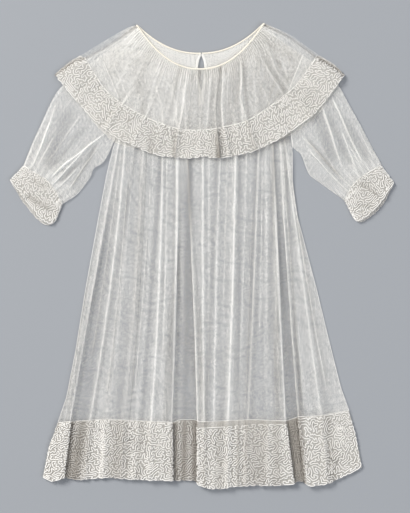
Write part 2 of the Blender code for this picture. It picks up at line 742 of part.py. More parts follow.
def bertha_columns():
    # Columns (part of the neck, part of the edge, fold's rise) across the front bertha
    columns = [(0.0, 0.0, 0.0)]
    for fold in BERTHA_FOLDS:
        fold_columns = []
        for offset, rise in ((-1.0, 0.0), (0.0, fold.rise), (1.0, 0.0)):
            step = offset * fold.half
            fold_columns.append((fold.neck + step, fold.edge + step, rise))
        add_bertha_span(columns, fold_columns[0])
        columns.extend(fold_columns)
    add_bertha_span(columns, (1.0, 1.0, 0.0))
    columns.append((1.0, 1.0, 0.0))
    return columns


def add_bertha_span(columns, end):
    start = columns[-1]
    for step in range(BERTHA_FILL):
        part = (step + 1) / (BERTHA_FILL + 1)
        columns.append((mix(start[0], end[0], part), mix(start[1], end[1], part), 0.0))


def shoulder_rise(point, edge_left, edge_right):
    # 0 on the shoulder line, where front and back lie on each other, and 1 inside it
    distance = min((point - edge_left).length, (point - edge_right).length)
    return smooth(distance / BERTHA_RISE)


def bertha_lines(neck_path, shoulders, band_top):
    # The four edges of the bertha's net, short of its band by the seam's gap
    top = neck_path
    bottom = Path(band_top).moved(-SEAM_GAP)
    left = Path([top.at(0.0), *[Vector(p) for p in shoulders[0][:-1]], bottom.at(0.0)])
    right = Path([top.at(1.0), *[Vector(p) for p in shoulders[1][:-1]], bottom.at(1.0)])
    return top, bottom, left, right


def band_lines(band_top, band_hem, tips):
    top = Path(band_top)
    bottom = Path(band_hem)
    left = Path([top.at(0.0), Vector(tips[0][0]), bottom.at(0.0)])
    right = Path([top.at(1.0), Vector(tips[1][0]), bottom.at(1.0)])
    return top, bottom, left, right


def build_bertha_front(material, collection):
    neck = neckline(FRONT_NECK_DEPTH, BINDING_RADIUS + SEAM_GAP)
    top, bottom, left, right = bertha_lines(neck, FRONT_SHOULDERS, FRONT_BAND_TOP)
    columns = bertha_columns()

    def place(column, row):
        neck_part, edge_part, rise = columns[column]
        down = BERTHA_DOWNS[row]
        lifted = smooth(down / BERTHA_LIFT_END)
        along = mix(neck_part, edge_part, smooth(down / BERTHA_FAN_END))
        point = panel_point(top.at, bottom.at, left.at, right.at, along, down)
        inside = shoulder_rise(point, left.at(down), right.at(down))
        height = mix(BERTHA_AT_NECK, BERTHA_OVER_BODY, lifted)
        height += rise * mix(BERTHA_FOLD_AT_NECK, 1.0, down) * lifted
        height += BERTHA_GATHER * (column % 2) * (1.0 - down)
        return point.x, point.y, mix(BERTHA_AT_SHOULDER, height, inside)

    mesh = grid_mesh("bertha_front", len(columns), len(BERTHA_DOWNS), place)
    made = finish_object("bertha_front", mesh, material, collection)
    return add_wall(made, NET_WALL, 0.0)


def build_bertha_band_front(material, collection):
    top, bottom, left, right = band_lines(FRONT_BAND_TOP, FRONT_BAND_HEM, FRONT_TIPS)
    columns = bertha_columns()

    def place(column, row):
        along, rise = columns[column][1:]
        down = BERTHA_BAND_DOWNS[row]
        point = panel_point(top.at, bottom.at, left.at, right.at, along, down)
        inside = shoulder_rise(point, left.at(down), right.at(down))
        inward = (top.at(along) - bottom.at(along)).normalized()
        point += inward * scallop(bottom.lengths[-1] * along) * down * down
        height = BERTHA_OVER_BODY + (BAND_WALL - NET_WALL) / 2.0 + rise
        return point.x, point.y, mix(BAND_AT_SHOULDER, height, inside)

    mesh = grid_mesh("bertha_band_front", len(columns), len(BERTHA_BAND_DOWNS), place)
    made = finish_object("bertha_band_front", mesh, material, collection)
    return add_wall(made, BAND_WALL, 0.0)


def build_bertha_back(material, collection):
    neck = neckline(BACK_NECK_DEPTH, BINDING_RADIUS + SEAM_GAP)
    top, bottom, left, right = bertha_lines(neck, BACK_SHOULDERS, BACK_BAND_TOP)
    half_count = BACK_BERTHA_HALF_COLUMNS

    def place(column, row):
        side, part, across = halved_column(column, half_count)
        down = BACK_BERTHA_DOWNS[row]
        point = panel_point(top.at, bottom.at, left.at, right.at, across, down)
        if part == 1.0:
            point.x = SLIT_X
        centre_y = panel_point(top.at, bottom.at, left.at, right.at, 0.5, down).y
        reach = UNSLIT_REACH
        if row < BACK_BERTHA_SLIT_ROWS:
            reach += slit_half_gap(centre_y)
        point.x = opened(point.x, side, reach)
        return point.x, point.y, 0.0

    mesh = grid_mesh(
        "bertha_back", 2 * half_count, len(BACK_BERTHA_DOWNS), place,
        left_out=lambda corners: crosses_slit(corners, half_count, BACK_BERTHA_SLIT_ROWS),
    )
    made = finish_object("bertha_back", mesh, material, collection)
    return add_wall(made, NET_WALL, 1.0)


def build_bertha_band_back(material, collection):
    top, bottom, left, right = band_lines(BACK_BAND_TOP, BACK_BAND_HEM, BACK_TIPS)

    def place(column, row):
        along = column / (BACK_BERTHA_BAND_COLUMNS - 1)
        point = panel_point(top.at, bottom.at, left.at, right.at, along, row)
        inward = (top.at(along) - bottom.at(along)).normalized()
        point += inward * scallop(bottom.lengths[-1] * along) * row
        return point.x, point.y, 0.0

    mesh = grid_mesh("bertha_band_back", BACK_BERTHA_BAND_COLUMNS, 2, place)
    made = finish_object("bertha_band_back", mesh, material, collection)
    return add_wall(made, BACK_BAND_WALL, 1.0)


def tube_ring(index):
    # Part across the tube and whether the point is on its top, for one point of a ring
    if index <= TUBE_TOP_POINTS:
        return (1.0 - math.cos(math.pi * index / TUBE_TOP_POINTS)) / 2.0, True
    under = (index - TUBE_TOP_POINTS) / TUBE_BOTTOM_POINTS
    return (1.0 + math.cos(math.pi * under)) / 2.0, False


def tube_height(index, edge, top, gather):
    across, upper = tube_ring(index)
    if index in (0, TUBE_TOP_POINTS, TUBE_TOP_POINTS + TUBE_BOTTOM_POINTS):
        return edge / 2.0
    if not upper:
        return 0.0
    crown = (4.0 * across * (1.0 - across)) ** TUBE_CROWN
    uneven = 0.6 + 0.4 * math.sin(index * GATHER_UNEVENNESS)
    return mix(edge, top, crown) + gather * uneven * crown * (index % 2)


def armhole_seam(side, across):
    # The armhole from shoulder to underarm, moved out by the seam's gap
    outward = -ARMHOLE_GAP if side == "left" else ARMHOLE_GAP
    rows = [Vector((getattr(row, side + "_x") + outward, getattr(row, side + "_y"))) for row in ARMHOLES]
    if across <= 0.5:
        return rows[0].lerp(rows[1], across * 2.0)
    return rows[1].lerp(rows[2], across * 2.0 - 1.0)


def build_sleeve(side, outer_points, inner_points, seam_points, material, collection):
    outward = -ARMHOLE_GAP if side == "left" else ARMHOLE_GAP
    outer = Path([(outer_points[0][0] + outward, outer_points[0][1]), *outer_points[1:]])
    inner = Path([(inner_points[0][0] + outward, inner_points[0][1]), *inner_points[1:]])
    seam = Path(seam_points)
    back_hem = Path(BACK_BAND_HEM)
    ring_points = TUBE_TOP_POINTS + TUBE_BOTTOM_POINTS

    def place(column, row):
        # The right sleeve is walked the other way round, to keep it facing out
        index = column if side == "left" else ring_points - column
        down = row / (SLEEVE_RINGS - 1)
        across = tube_ring(index)[0]
        point = panel_point(lambda part: armhole_seam(side, part), seam.at, outer.at, inner.at, across, down)
        free = smooth((down - FREE_OF_BERTHA_FROM) / FREE_OF_BERTHA_FROM)
        top = mix(SLEEVE_HEIGHT_UNDER_BERTHA, SLEEVE_HEIGHT, free)
        top = mix(top, CUFF_HEIGHT, smooth((down - CUFF_HEIGHT_FROM) / (1.0 - CUFF_HEIGHT_FROM)))
        near_cuff = smooth((down - CUFF_EDGE_FROM) / (1.0 - CUFF_EDGE_FROM))
        edge = mix(SLEEVE_EDGE_HEIGHT, CUFF_EDGE_HEIGHT, near_cuff)
        gather = CUFF_GATHER * smooth((down - GATHER_FROM) / GATHER_OVER)
        height = tube_height(index, edge, top, gather)
        return point.x, point.y, lift_over_back_bertha(point, back_hem) + height

    name = "sleeve_" + side
    mesh = grid_mesh(name, ring_points + 1, SLEEVE_RINGS, place, joined=True)
    made = finish_object(name, mesh, material, collection)
    return add_wall(made, NET_WALL, -1.0)


def build_cuff(side, seam_points, edge_points, material, collection):
    seam = Path(seam_points)
    edge = Path(edge_points)
    axis = (edge.at(0.5) - seam.at(0.5)).normalized()
    ring_points = TUBE_TOP_POINTS + TUBE_BOTTOM_POINTS

    def place(column, row):
        index = column if side == "left" else ring_points - column
        across, upper = tube_ring(index)
        down = row / (CUFF_RINGS - 1)
        point = seam.at(across).lerp(edge.at(across), down) + axis * CUFF_SEAM_ROOM * (1.0 - down)
        crown = 4.0 * across * (1.0 - across)
        if upper:
            point -= axis * CUFF_LIP * crown * down
        point -= axis * scallop(seam.lengths[-1] * across * CUFF_SCALLOP_STRETCH) * crown * down
        gather = CUFF_GATHER * (1.0 - down)
        return point.x, point.y, tube_height(index, CUFF_EDGE_HEIGHT, CUFF_HEIGHT, gather)

    name = "cuff_" + side
    mesh = grid_mesh(name, ring_points + 1, CUFF_RINGS, place, joined=True)
    made = finish_object(name, mesh, material, collection)
    return add_wall(made, CUFF_WALL, -1.0)


def build_neck_binding(material, collection):
    # One binding from one side of the slit round the neck to the other side
    back = neckline(BACK_NECK_DEPTH, 0.0)
    front = neckline(FRONT_NECK_DEPTH, 0.0)
    slit_part = 0.5 + (SLIT_X - NECK_CENTRE_X) / back.lengths[-1]
    half_gap_part = BINDING_END_GAP / 2.0 / back.lengths[-1]
    route = []
    for step in range(BINDING_BACK_STEPS):
        part = step / (BINDING_BACK_STEPS - 1)
        spot = back.at(mix(slit_part + half_gap_part, BINDING_TO, part))
        route.append((spot.x, spot.y, BACK_BINDING_Z))
    for step in range(1, BINDING_TURN_STEPS):
        angle = math.pi * step / BINDING_TURN_STEPS
        route.append(turn_point(back.at(BINDING_TO), front.at(BINDING_TO), angle))
    for step in range(BINDING_FRONT_STEPS):
        part = step / (BINDING_FRONT_STEPS - 1)
        spot = front.at(mix(BINDING_TO, BINDING_FROM, part))
        route.append((spot.x, spot.y, FRONT_BINDING_Z))
    for step in range(1, BINDING_TURN_STEPS):
        angle = math.pi * (1.0 - step / BINDING_TURN_STEPS)
        route.append(turn_point(back.at(BINDING_FROM), front.at(BINDING_FROM), angle))
    for step in range(BINDING_BACK_STEPS):
        part = step / (BINDING_BACK_STEPS - 1)
        spot = back.at(mix(BINDING_FROM, slit_part - half_gap_part, part))
        route.append((spot.x, spot.y, BACK_BINDING_Z))
    return route_tube("neck_binding", route, BINDING_RADIUS, material, collection)


def turn_point(low, high, angle):
    # Half a turn from the back neckline's end up to the front one's
    part = (1.0 - math.cos(angle)) / 2.0
    spot = low.lerp(high, part)
    outward = (spot - Vector((NECK_CENTRE_X, NECK_POINT_Y - FRONT_NECK_DEPTH))).normalized()
    spot += outward * math.sin(angle) * (FRONT_BINDING_Z - BACK_BINDING_Z) / 2.0
    return spot.x, spot.y, mix(BACK_BINDING_Z, FRONT_BINDING_Z, part)


def route_tube(name, route, radius, material, collection):
    line = bpy.data.curves.new(name, "CURVE")
    line.dimensions = "3D"
    line.bevel_depth = radius * MM
    line.bevel_resolution = 2
    line.use_fill_caps = True
    spline = line.splines.new("POLY")
    spline.points.add(len(route) - 1)
    for point, place in zip(spline.points, route):
        point.co = (*(Vector(place) * MM), 1.0)
    made = bpy.data.objects.new(name, line)
    line.materials.append(material)
    collection.objects.link(made)
    return made


def centre_on_box(parts):
    # The origin is the middle of the gown's box, on the surface that it lies on
    bpy.context.view_layer.update()
    graph = bpy.context.evaluated_depsgraph_get()
    corners = []
    for part in parts:
        mesh = part.evaluated_get(graph).to_mesh()
        corners.extend(part.matrix_world @ point.co for point in mesh.vertices)
        part.evaluated_get(graph).to_mesh_clear()
    middle_x = (min(c.x for c in corners) + max(c.x for c in corners)) / 2.0
    middle_y = (min(c.y for c in corners) + max(c.y for c in corners)) / 2.0
    for part in parts:
        part.location = (-middle_x, -middle_y, 0.0)


def main():
    for old in list(bpy.data.objects):
        bpy.data.objects.remove(old, do_unlink=True)
    gown = bpy.data.collections.new("christening_gown")
    bpy.context.scene.collection.children.link(gown)
    net = make_material("cotton_net", NET_COLOUR, 0.9)
    cords = make_material("corded_net", CORD_COLOUR, 0.85)
    binding = make_material("neck_binding", BINDING_COLOUR, 0.8)
    tape = make_material("placket_tape", TAPE_COLOUR, 0.85)
    parts = [
        build_bertha_back(net, gown),
        build_bertha_band_back(cords, gown),
        build_body_back(net, gown),
        build_hem_band_back(cords, gown),
        build_tape("placket_tape_left", -1.0, tape, gown),
        build_tape("placket_tape_right", 1.0, tape, gown),
        build_sleeve("left", LEFT_SLEEVE_OUTER, LEFT_SLEEVE_INNER, LEFT_CUFF_SEAM, net, gown),
        build_sleeve("right", RIGHT_SLEEVE_OUTER, RIGHT_SLEEVE_INNER, RIGHT_CUFF_SEAM, net, gown),
        build_cuff("left", LEFT_CUFF_SEAM, LEFT_CUFF_EDGE, cords, gown),
        build_cuff("right", RIGHT_CUFF_SEAM, RIGHT_CUFF_EDGE, cords, gown),
        build_body_front(net, gown),
        build_hem_band_front(cords, gown),
        build_bertha_front(net, gown),
        build_bertha_band_front(cords, gown),
        build_neck_binding(binding, gown),
    ]
    centre_on_box(parts)


main()
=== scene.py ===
import math
import random
from collections import namedtuple
from functools import partial

import bmesh
import bpy
import numpy as np
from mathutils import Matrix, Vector


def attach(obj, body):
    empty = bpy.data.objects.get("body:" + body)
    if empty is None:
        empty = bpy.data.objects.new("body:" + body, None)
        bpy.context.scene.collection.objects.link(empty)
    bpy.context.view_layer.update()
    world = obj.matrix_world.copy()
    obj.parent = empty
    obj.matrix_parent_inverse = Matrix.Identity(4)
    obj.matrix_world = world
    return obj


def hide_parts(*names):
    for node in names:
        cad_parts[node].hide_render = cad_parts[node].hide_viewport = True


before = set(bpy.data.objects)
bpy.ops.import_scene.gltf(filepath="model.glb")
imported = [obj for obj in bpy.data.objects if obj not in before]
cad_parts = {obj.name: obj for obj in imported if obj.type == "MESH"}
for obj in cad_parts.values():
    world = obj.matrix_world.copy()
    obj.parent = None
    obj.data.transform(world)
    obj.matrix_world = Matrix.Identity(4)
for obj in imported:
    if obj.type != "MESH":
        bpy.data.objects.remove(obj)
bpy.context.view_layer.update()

# Christening gown of cotton bobbin net with bands of couched cord, laid flat with its front up.
# Tables are in millimetres in the gown's own frame: +Y runs to the neck, +X to the right, +Z up.
# Parts of a length run from 0 to 1, from left to right or from the neck to the hem.

mm = 0.001
gownShift = 0.89  # the gown's Y numbers move up by this, which centres its box on the origin


# General shapes

def smooth(value):
    part = np.clip(value, 0.0, 1.0)
    return part * part * (3.0 - 2.0 * part)


def mixed(start, end, part):
    return start + (end - start) * part


def wander(value, seed):
    # Slow uneven wave between about -1 and 1
    first = np.sin(value * 1.0 + seed * 1.7)
    second = np.sin(value * 2.3 + seed * 4.1)
    third = np.sin(value * 0.37 + seed * 2.9)
    return (first + 0.6 * second + 0.8 * third) / 2.0


def curveThrough(points, steps=9):
    # Smooth curve through a few points
    knots = np.array(points, float)
    padded = np.vstack([knots[:1], knots, knots[-1:]])
    part = np.linspace(0.0, 1.0, steps, endpoint=False)[:, None]
    stretches = []
    for before, start, end, after in zip(padded, padded[1:], padded[2:], padded[3:]):
        handleOut = start + (end - before) / 6.0
        handleIn = end - (after - start) / 6.0
        stretch = (1.0 - part) ** 3 * start + 3.0 * (1.0 - part) ** 2 * part * handleOut
        stretch += 3.0 * (1.0 - part) * part ** 2 * handleIn + part ** 3 * end
        stretches.append(stretch)
    return np.vstack(stretches + [knots[-1:]])


def runOf(line):
    # Length of a line up to each of its points
    steps = np.linalg.norm(np.diff(line, axis=0), axis=1)
    return np.concatenate([[0.0], np.cumsum(steps)])


def atParts(line, parts):
    # Points of a line at parts of its length
    run = runOf(line)
    wanted = np.asarray(parts) * run[-1]
    return np.stack([np.interp(wanted, run, line[:, axis]) for axis in range(line.shape[1])], axis=-1)


def edgeAlong(line):
    return lambda parts: atParts(line, parts)


def movedRight(line, distance):
    # The same line moved to its right-hand side as one walks along it
    walk = np.gradient(line, axis=0)
    walk /= np.linalg.norm(walk, axis=1)[:, None]
    return line + distance * np.stack([walk[:, 1], -walk[:, 0]], axis=1)


def panelPoints(top, bottom, left, right, across, down):
    # Plan points of a four-sided panel from functions for its four edges
    crossPart = across[..., None]
    downPart = down[..., None]
    ruled = mixed(top(across), bottom(across), downPart) + mixed(left(down), right(down), crossPart)
    upper = mixed(top(np.array(0.0)), top(np.array(1.0)), crossPart)
    lower = mixed(bottom(np.array(0.0)), bottom(np.array(1.0)), crossPart)
    return ruled - mixed(upper, lower, downPart)


def table(kind, rows):
    # Rows of numbers with the names of their columns
    return tuple(kind(*row) for row in rows)


def column(rows, name):
    return np.array([getattr(row, name) for row in rows])


def readTable(rows, key, name, value):
    keys = column(rows, key)
    order = np.argsort(keys)
    return np.interp(value, keys[order], column(rows, name)[order])


# The gown's outline and heights, the same as its solids'

gown = {
    "underarmY": 148.5, "middleY": -45.0, "seamY": -213.0, "hemY": -292.0,
    "seamGap": 0.3, "armholeGap": 0.5,
    "backOverBertha": 2.0, "frontOverBack": 1.8, "frontAtHem": 3.3,
    "rampStart": 38.0, "rampEnd": 72.0, "hemRampFrom": 45.0, "hemRampLength": 40.0,
}

neck = {
    "centreX": -2.0, "pointY": 300.8, "tilt": 1.1, "halfWidth": 83.0, "power": 2.2, "steps": 121,
    "frontDepth": 59.0, "backDepth": 38.5, "sewFrom": 0.035, "sewTo": 0.965,
    "roll": 1.15, "tuckedIn": 0.3, "backZ": 1.5, "frontZ": 5.1,
}

slit = {
    "x": -1.0, "topY": 259.0, "bottomY": 214.0, "halfGap": 4.0, "widest": 0.72, "shut": 0.15, "rows": 18,
    "spread": 60.0, "tape": 3.6, "underTape": 0.6, "tapeZ": 0.6, "tapeArch": 0.25,
    "tapeRows": 40, "tapeColumns": 5,
}

Side = namedtuple("Side", "y left right")
sides = table(Side, (
    (150.0, -112.8, 117.3), (104.0, -123.8, 117.3), (59.0, -132.5, 123.0), (-45.0, -151.5, 149.3),
    (-123.0, -164.2, 167.0), (-182.0, -176.0, 180.8), (-213.0, -187.0, 190.8), (-244.0, -198.5, 199.5),
    (-300.0, -208.3, 209.0),
))

Armhole = namedtuple("Armhole", "down leftX leftY rightX rightY")
armholes = table(Armhole, (
    (0.36, -131.0, 260.0, 130.5, 260.0), (0.68, -108.5, 206.0, 109.0, 207.0),
    (1.0, -112.8, 148.5, 117.3, 140.0),
))

Drop = namedtuple("Drop", "x y")
hemDrops = table(Drop, (
    (-206.4, -288.3), (-197.0, -294.0), (-178.6, -288.0), (-161.0, -291.0), (-127.0, -288.0),
    (-74.0, -291.0), (-38.0, -291.5), (-29.0, -292.0), (-9.0, -292.0), (-4.5, -297.0), (11.0, -302.5),
    (26.0, -302.6), (45.0, -298.7), (89.0, -298.0), (118.0, -297.0), (123.0, -292.5), (131.0, -293.0),
    (140.0, -299.0), (164.0, -296.0), (186.0, -285.5), (206.4, -275.5),
))
seamDrops = table(Drop, (
    (-190.0, -217.0), (-122.0, -212.5), (-59.0, -215.5), (-36.0, -217.0), (-30.0, -213.5), (-9.0, -213.5),
    (-4.0, -216.0), (68.0, -213.0), (110.0, -215.0), (125.0, -209.5), (154.0, -207.7), (192.0, -201.2),
))

berthaOutline = {
    "frontShoulders": (((-106.0, 285.0), (-128.5, 270.5)), ((111.5, 286.5), (132.0, 272.5))),
    "backShoulders": (((-99.0, 294.6), (-128.0, 278.0)), ((113.0, 287.5), (133.0, 273.5))),
    "frontBandTop": (
        (-152.5, 257.5), (-138.8, 235.0), (-119.5, 209.4), (-78.7, 182.3), (-32.8, 164.8),
        (2.9, 162.8), (34.0, 168.0), (64.0, 177.5), (109.5, 209.4), (131.0, 232.0), (149.5, 259.0),
    ),
    "frontBandHem": (
        (-191.8, 234.3), (-175.6, 214.5), (-153.5, 189.0), (-133.2, 168.6), (-112.8, 153.3),
        (-85.5, 139.8), (-58.2, 129.5), (-24.4, 125.3), (2.9, 127.2), (14.4, 125.3), (48.4, 129.5),
        (72.2, 136.4), (102.8, 151.6), (119.8, 163.5), (143.6, 180.6), (162.3, 202.7), (186.1, 234.0),
    ),
    "backBandTop": (
        (-157.0, 260.0), (-141.0, 234.0), (-119.5, 205.0), (-78.7, 178.0), (-32.8, 162.0),
        (2.9, 160.5), (34.0, 164.0), (64.0, 173.0), (109.5, 204.0), (133.0, 231.0), (152.0, 260.0),
    ),
    "backBandHem": (
        (-190.5, 236.0), (-172.0, 211.0), (-150.0, 184.0), (-128.0, 158.5), (-111.0, 145.5),
        (-85.0, 138.5), (-54.0, 130.0), (0.0, 127.5), (50.0, 131.0), (82.0, 141.5), (106.0, 152.0),
        (124.0, 161.0), (148.0, 180.0), (170.0, 210.0), (184.0, 235.5),
    ),
    "frontTips": ((-170.0, 251.0), (172.0, 246.0)),
    "backTips": ((-172.5, 251.5), (172.0, 248.0)),
}


def neckline(depth, outset):
    # One neckline from left to right, moved out from the opening by outset
    part = np.linspace(-1.0, 1.0, neck["steps"])
    drop = depth * (1.0 - np.abs(part) ** neck["power"]) - neck["tilt"] * part
    line = np.stack([neck["centreX"] + neck["halfWidth"] * part, neck["pointY"] - drop], axis=1)
    return movedRight(line, outset)


def netNeckline(depth):
    # The net's own edge, tucked into the binding's roll
    return neckline(depth, neck["roll"] - neck["tuckedIn"])


def slitHalfGap(y):
    part = np.clip((slit["topY"] - y) / (slit["topY"] - slit["bottomY"]), 0.0, 1.0)
    return slit["halfGap"] * np.sin(math.pi * part ** slit["widest"])


def liftOverBackBertha(plan):
    # Height that the back bertha gives to cloth on top of it
    hem = curveThrough(berthaOutline["backBandHem"])
    flat = plan.reshape(-1, 2)
    distance = np.full(len(flat), 1e9)
    for spot in hem:
        distance = np.minimum(distance, np.hypot(flat[:, 0] - spot[0], flat[:, 1] - spot[1]))
    inRange = (flat[:, 0] >= hem[0, 0]) & (flat[:, 0] <= hem[-1, 0])
    above = inRange & (flat[:, 1] > np.interp(flat[:, 0], hem[:, 0], hem[:, 1]))
    ramp = 1.0 - smooth((distance - gown["rampStart"]) / (gown["rampEnd"] - gown["rampStart"]))
    lift = gown["backOverBertha"] * np.where(above, 1.0, ramp)
    return lift.reshape(plan.shape[:-1])


def frontBase(plan):
    # Height of the front where no fold lifts it
    overHem = smooth((gown["seamY"] + gown["hemRampFrom"] - plan[..., 1]) / gown["hemRampLength"])
    return mixed(gown["frontOverBack"] + liftOverBackBertha(plan), gown["frontAtHem"], overHem)


def armholeSide(neckPoint, side):
    # The body's shoulder and armhole as a function of how far down it one is
    downs = np.concatenate([[0.0], column(armholes, "down")])
    xs = np.concatenate([[neckPoint[0]], column(armholes, side + "X")])
    ys = np.concatenate([[neckPoint[1]], column(armholes, side + "Y")])
    return lambda down: np.stack([np.interp(down, downs, xs), np.interp(down, downs, ys)], axis=-1)


def bodyYoke(depth):
    # The body from its neckline to the underarms, as a function of parts across and down
    sewn = edgeAlong(netNeckline(depth))
    left = armholeSide(sewn(neck["sewFrom"]), "left")
    right = armholeSide(sewn(neck["sewTo"]), "right")
    return lambda across, down: panelPoints(
        lambda parts: sewn(mixed(neck["sewFrom"], neck["sewTo"], parts)),
        lambda parts: mixed(left(1.0), right(1.0), parts[..., None]),
        left, right, across, down,
    )


def withHeight(plan, height):
    return np.concatenate([plan, height[..., None]], axis=-1)


relief = {"cell": 2.0, "reach": 13.0, "depth": 2.4, "blurs": 2}

# Stripes down the cloth: place and strength run from its top to its bottom, and half is a half width.
# Hollows are stretches between folds where shade is painted on. Lines are where the threads lie close and
# look bright
Stripe = namedtuple("Stripe", "topX bottomX half top bottom")
skirtHollows = table(Stripe, (
    (-74.0, -112.0, 15.0, 0.05, 0.45), (-15.0, -22.0, 11.0, 0.1, 0.55), (60.0, 70.0, 15.0, 0.05, 0.45),
    (97.0, 127.0, 6.0, 0.05, 0.6), (-105.0, -166.0, 9.0, 0.0, 1.0), (122.0, 170.0, 8.0, 0.0, 0.25),
    (88.0, 98.0, 6.0, 0.05, 0.4), (28.0, 22.0, 6.0, 0.05, 0.3), (-15.5, -24.0, 4.2, 0.95, 0.5),
    (19.5, 3.0, 3.2, 0.5, 0.2), (49.5, 47.0, 2.0, 0.6, 0.5), (72.0, 55.0, 3.5, 0.4, 0.25),
    (94.0, 80.0, 3.2, 0.4, 0.1), (91.5, 126.0, 3.0, 0.3, 0.9), (107.0, 133.0, 2.4, 0.3, 0.5),
    (-52.0, -83.5, 3.2, 0.6, 0.3), (-84.0, -153.0, 3.2, 0.4, 0.2), (-35.5, -40.0, 2.0, 0.3, 0.2),
))
berthaHollows = table(Stripe, (
    (21.5, 21.5, 4.5, -1.2, 1.0), (23.5, 11.0, 2.2, 0.6, 0.0), (53.5, 66.0, 2.4, 0.5, 0.1),
    (-3.0, -6.0, 2.6, 0.5, -0.1), (-29.0, -57.0, 2.4, 0.35, 0.0), (42.0, 34.0, 2.4, 0.25, 0.1),
    (-36.0, -36.0, 3.5, -0.6, 0.6), (-60.0, -68.0, 3.5, -0.5, 0.5), (74.0, 82.0, 3.0, 0.2, 0.1),
    (91.0, 161.0, 3.5, 0.6, -1.0), (-76.0, -110.0, 3.0, 0.2, 0.1), (60.0, 70.0, 3.5, -0.6, 0.4),
))
berthaLines = table(Stripe, (
    (12.0, 2.5, 1.2, 1.0, 0.9), (27.5, 25.0, 1.2, 0.8, 0.7), (50.7, 53.5, 1.2, 0.9, 0.5),
    (-27.0, -43.0, 1.2, 0.4, 0.5), (-19.0, -35.0, 1.2, 0.8, 0.4), (-7.8, -22.0, 1.0, 0.4, 0.2),
    (86.0, 155.0, 1.3, 0.7, 0.4), (66.0, 75.0, 1.1, 0.3, 0.3), (-58.0, -86.0, 1.2, 0.4, 0.5),
    (-82.0, -135.0, 1.2, 0.4, 0.2), (-43.0, -58.0, 1.1, 0.3, 0.2), (108.0, 150.0, 1.2, 0.4, 0.3),
    (34.0, 30.0, 1.1, 0.5, -0.1), (-100.0, -160.0, 1.2, 0.3, 0.3),
))
Around = namedtuple("Around", "grids hollows topY bottomY")  # cloth beside a piece, with its hollows


def striped(points, stripes, topY, bottomY):
    # Strength of the stripes at each point, fading out above their top
    down = (topY - points[..., 1]) / (topY - bottomY)
    total = np.zeros(down.shape)
    for stripe in stripes:
        aside = (points[..., 0] - mixed(stripe.topX, stripe.bottomX, down)) / stripe.half
        strength = np.maximum(0.0, mixed(stripe.top, stripe.bottom, np.clip(down, 0.0, 1.0)))
        total += strength * np.exp(-aside ** 2)
    return total * smooth(1.0 + down * 4.0)


def hollowShade(points, around):
    return striped(points, around.hollows, around.topY, around.bottomY)


def recess(points, around):
    # Painted shade from 0 to 1: how deep each point lies below the cloth around it, plus its listed hollows
    cell = relief["cell"]
    low = np.min([grid[..., :2].reshape(-1, 2).min(axis=0) for grid in around.grids], axis=0) - cell
    high = np.max([grid[..., :2].reshape(-1, 2).max(axis=0) for grid in around.grids], axis=0) + cell
    shape = np.ceil((high - low) / cell).astype(int) + 1
    top = np.zeros(shape)
    for grid in around.grids:
        spots = ((grid[..., :2].reshape(-1, 2) - low) / cell).astype(int)
        np.maximum.at(top, (spots[:, 0], spots[:, 1]), grid[..., 2].ravel())
    filled = (top > 0.0).astype(float)
    for axis in (0, 1):
        for _ in range(relief["blurs"]):
            width = int(relief["reach"] / cell / 2.0)
            top = sum(np.roll(top, move, axis) for move in range(-width, width + 1))
            filled = sum(np.roll(filled, move, axis) for move in range(-width, width + 1))
    level = top / np.maximum(filled, 0.001)
    spots = np.clip(((points[..., :2] - low) / cell).astype(int), 0, shape - 1)
    below = smooth((level[spots[..., 0], spots[..., 1]] - points[..., 2]) / relief["depth"])
    return np.clip(below + hollowShade(points, around), 0.0, 1.0)


# Cloth meshes: a grid whose points are moved, with the lie of its threads as UV

threads = {"astray": 1.8, "steepest": 0.3, "join": 0.005}


def surfaceNormals(points):
    acrossStep = np.gradient(points, axis=1)
    downStep = np.gradient(points, axis=0)
    normal = np.cross(downStep, acrossStep)
    return normal / np.maximum(np.linalg.norm(normal, axis=2), 1e-9)[..., None]


def grain(points, turn, drawn, tube, seed):
    # Lie of the threads: the cloth seen from above, turned, drawn out along its length and a little
    # astray, so that two layers of net make waves with each other. A tube's two sides mirror each other
    x, y = points[..., 0], points[..., 1] * drawn
    if tube:
        x = np.where(surfaceNormals(points)[..., 2] < 0.0, -x, x)
    x = x + threads["astray"] * wander(y * 0.035 + x * 0.02, seed)
    y = y + threads["astray"] * wander(x * 0.04 - y * 0.015, seed + 5.0)
    c, s = math.cos(math.radians(turn)), math.sin(math.radians(turn))
    return np.stack([c * x - s * y, s * x + c * y], axis=-1) * mm


def addValues(mesh, name, values):
    mesh.attributes.new(name, "FLOAT", "POINT").data.foreach_set("value", values.astype(np.float32))


def linked(name, mesh, material):
    mesh.materials.clear()
    mesh.materials.append(material)
    mesh.shade_smooth()
    piece = bpy.data.objects.new(name, mesh)
    bpy.context.scene.collection.objects.link(piece)
    return piece


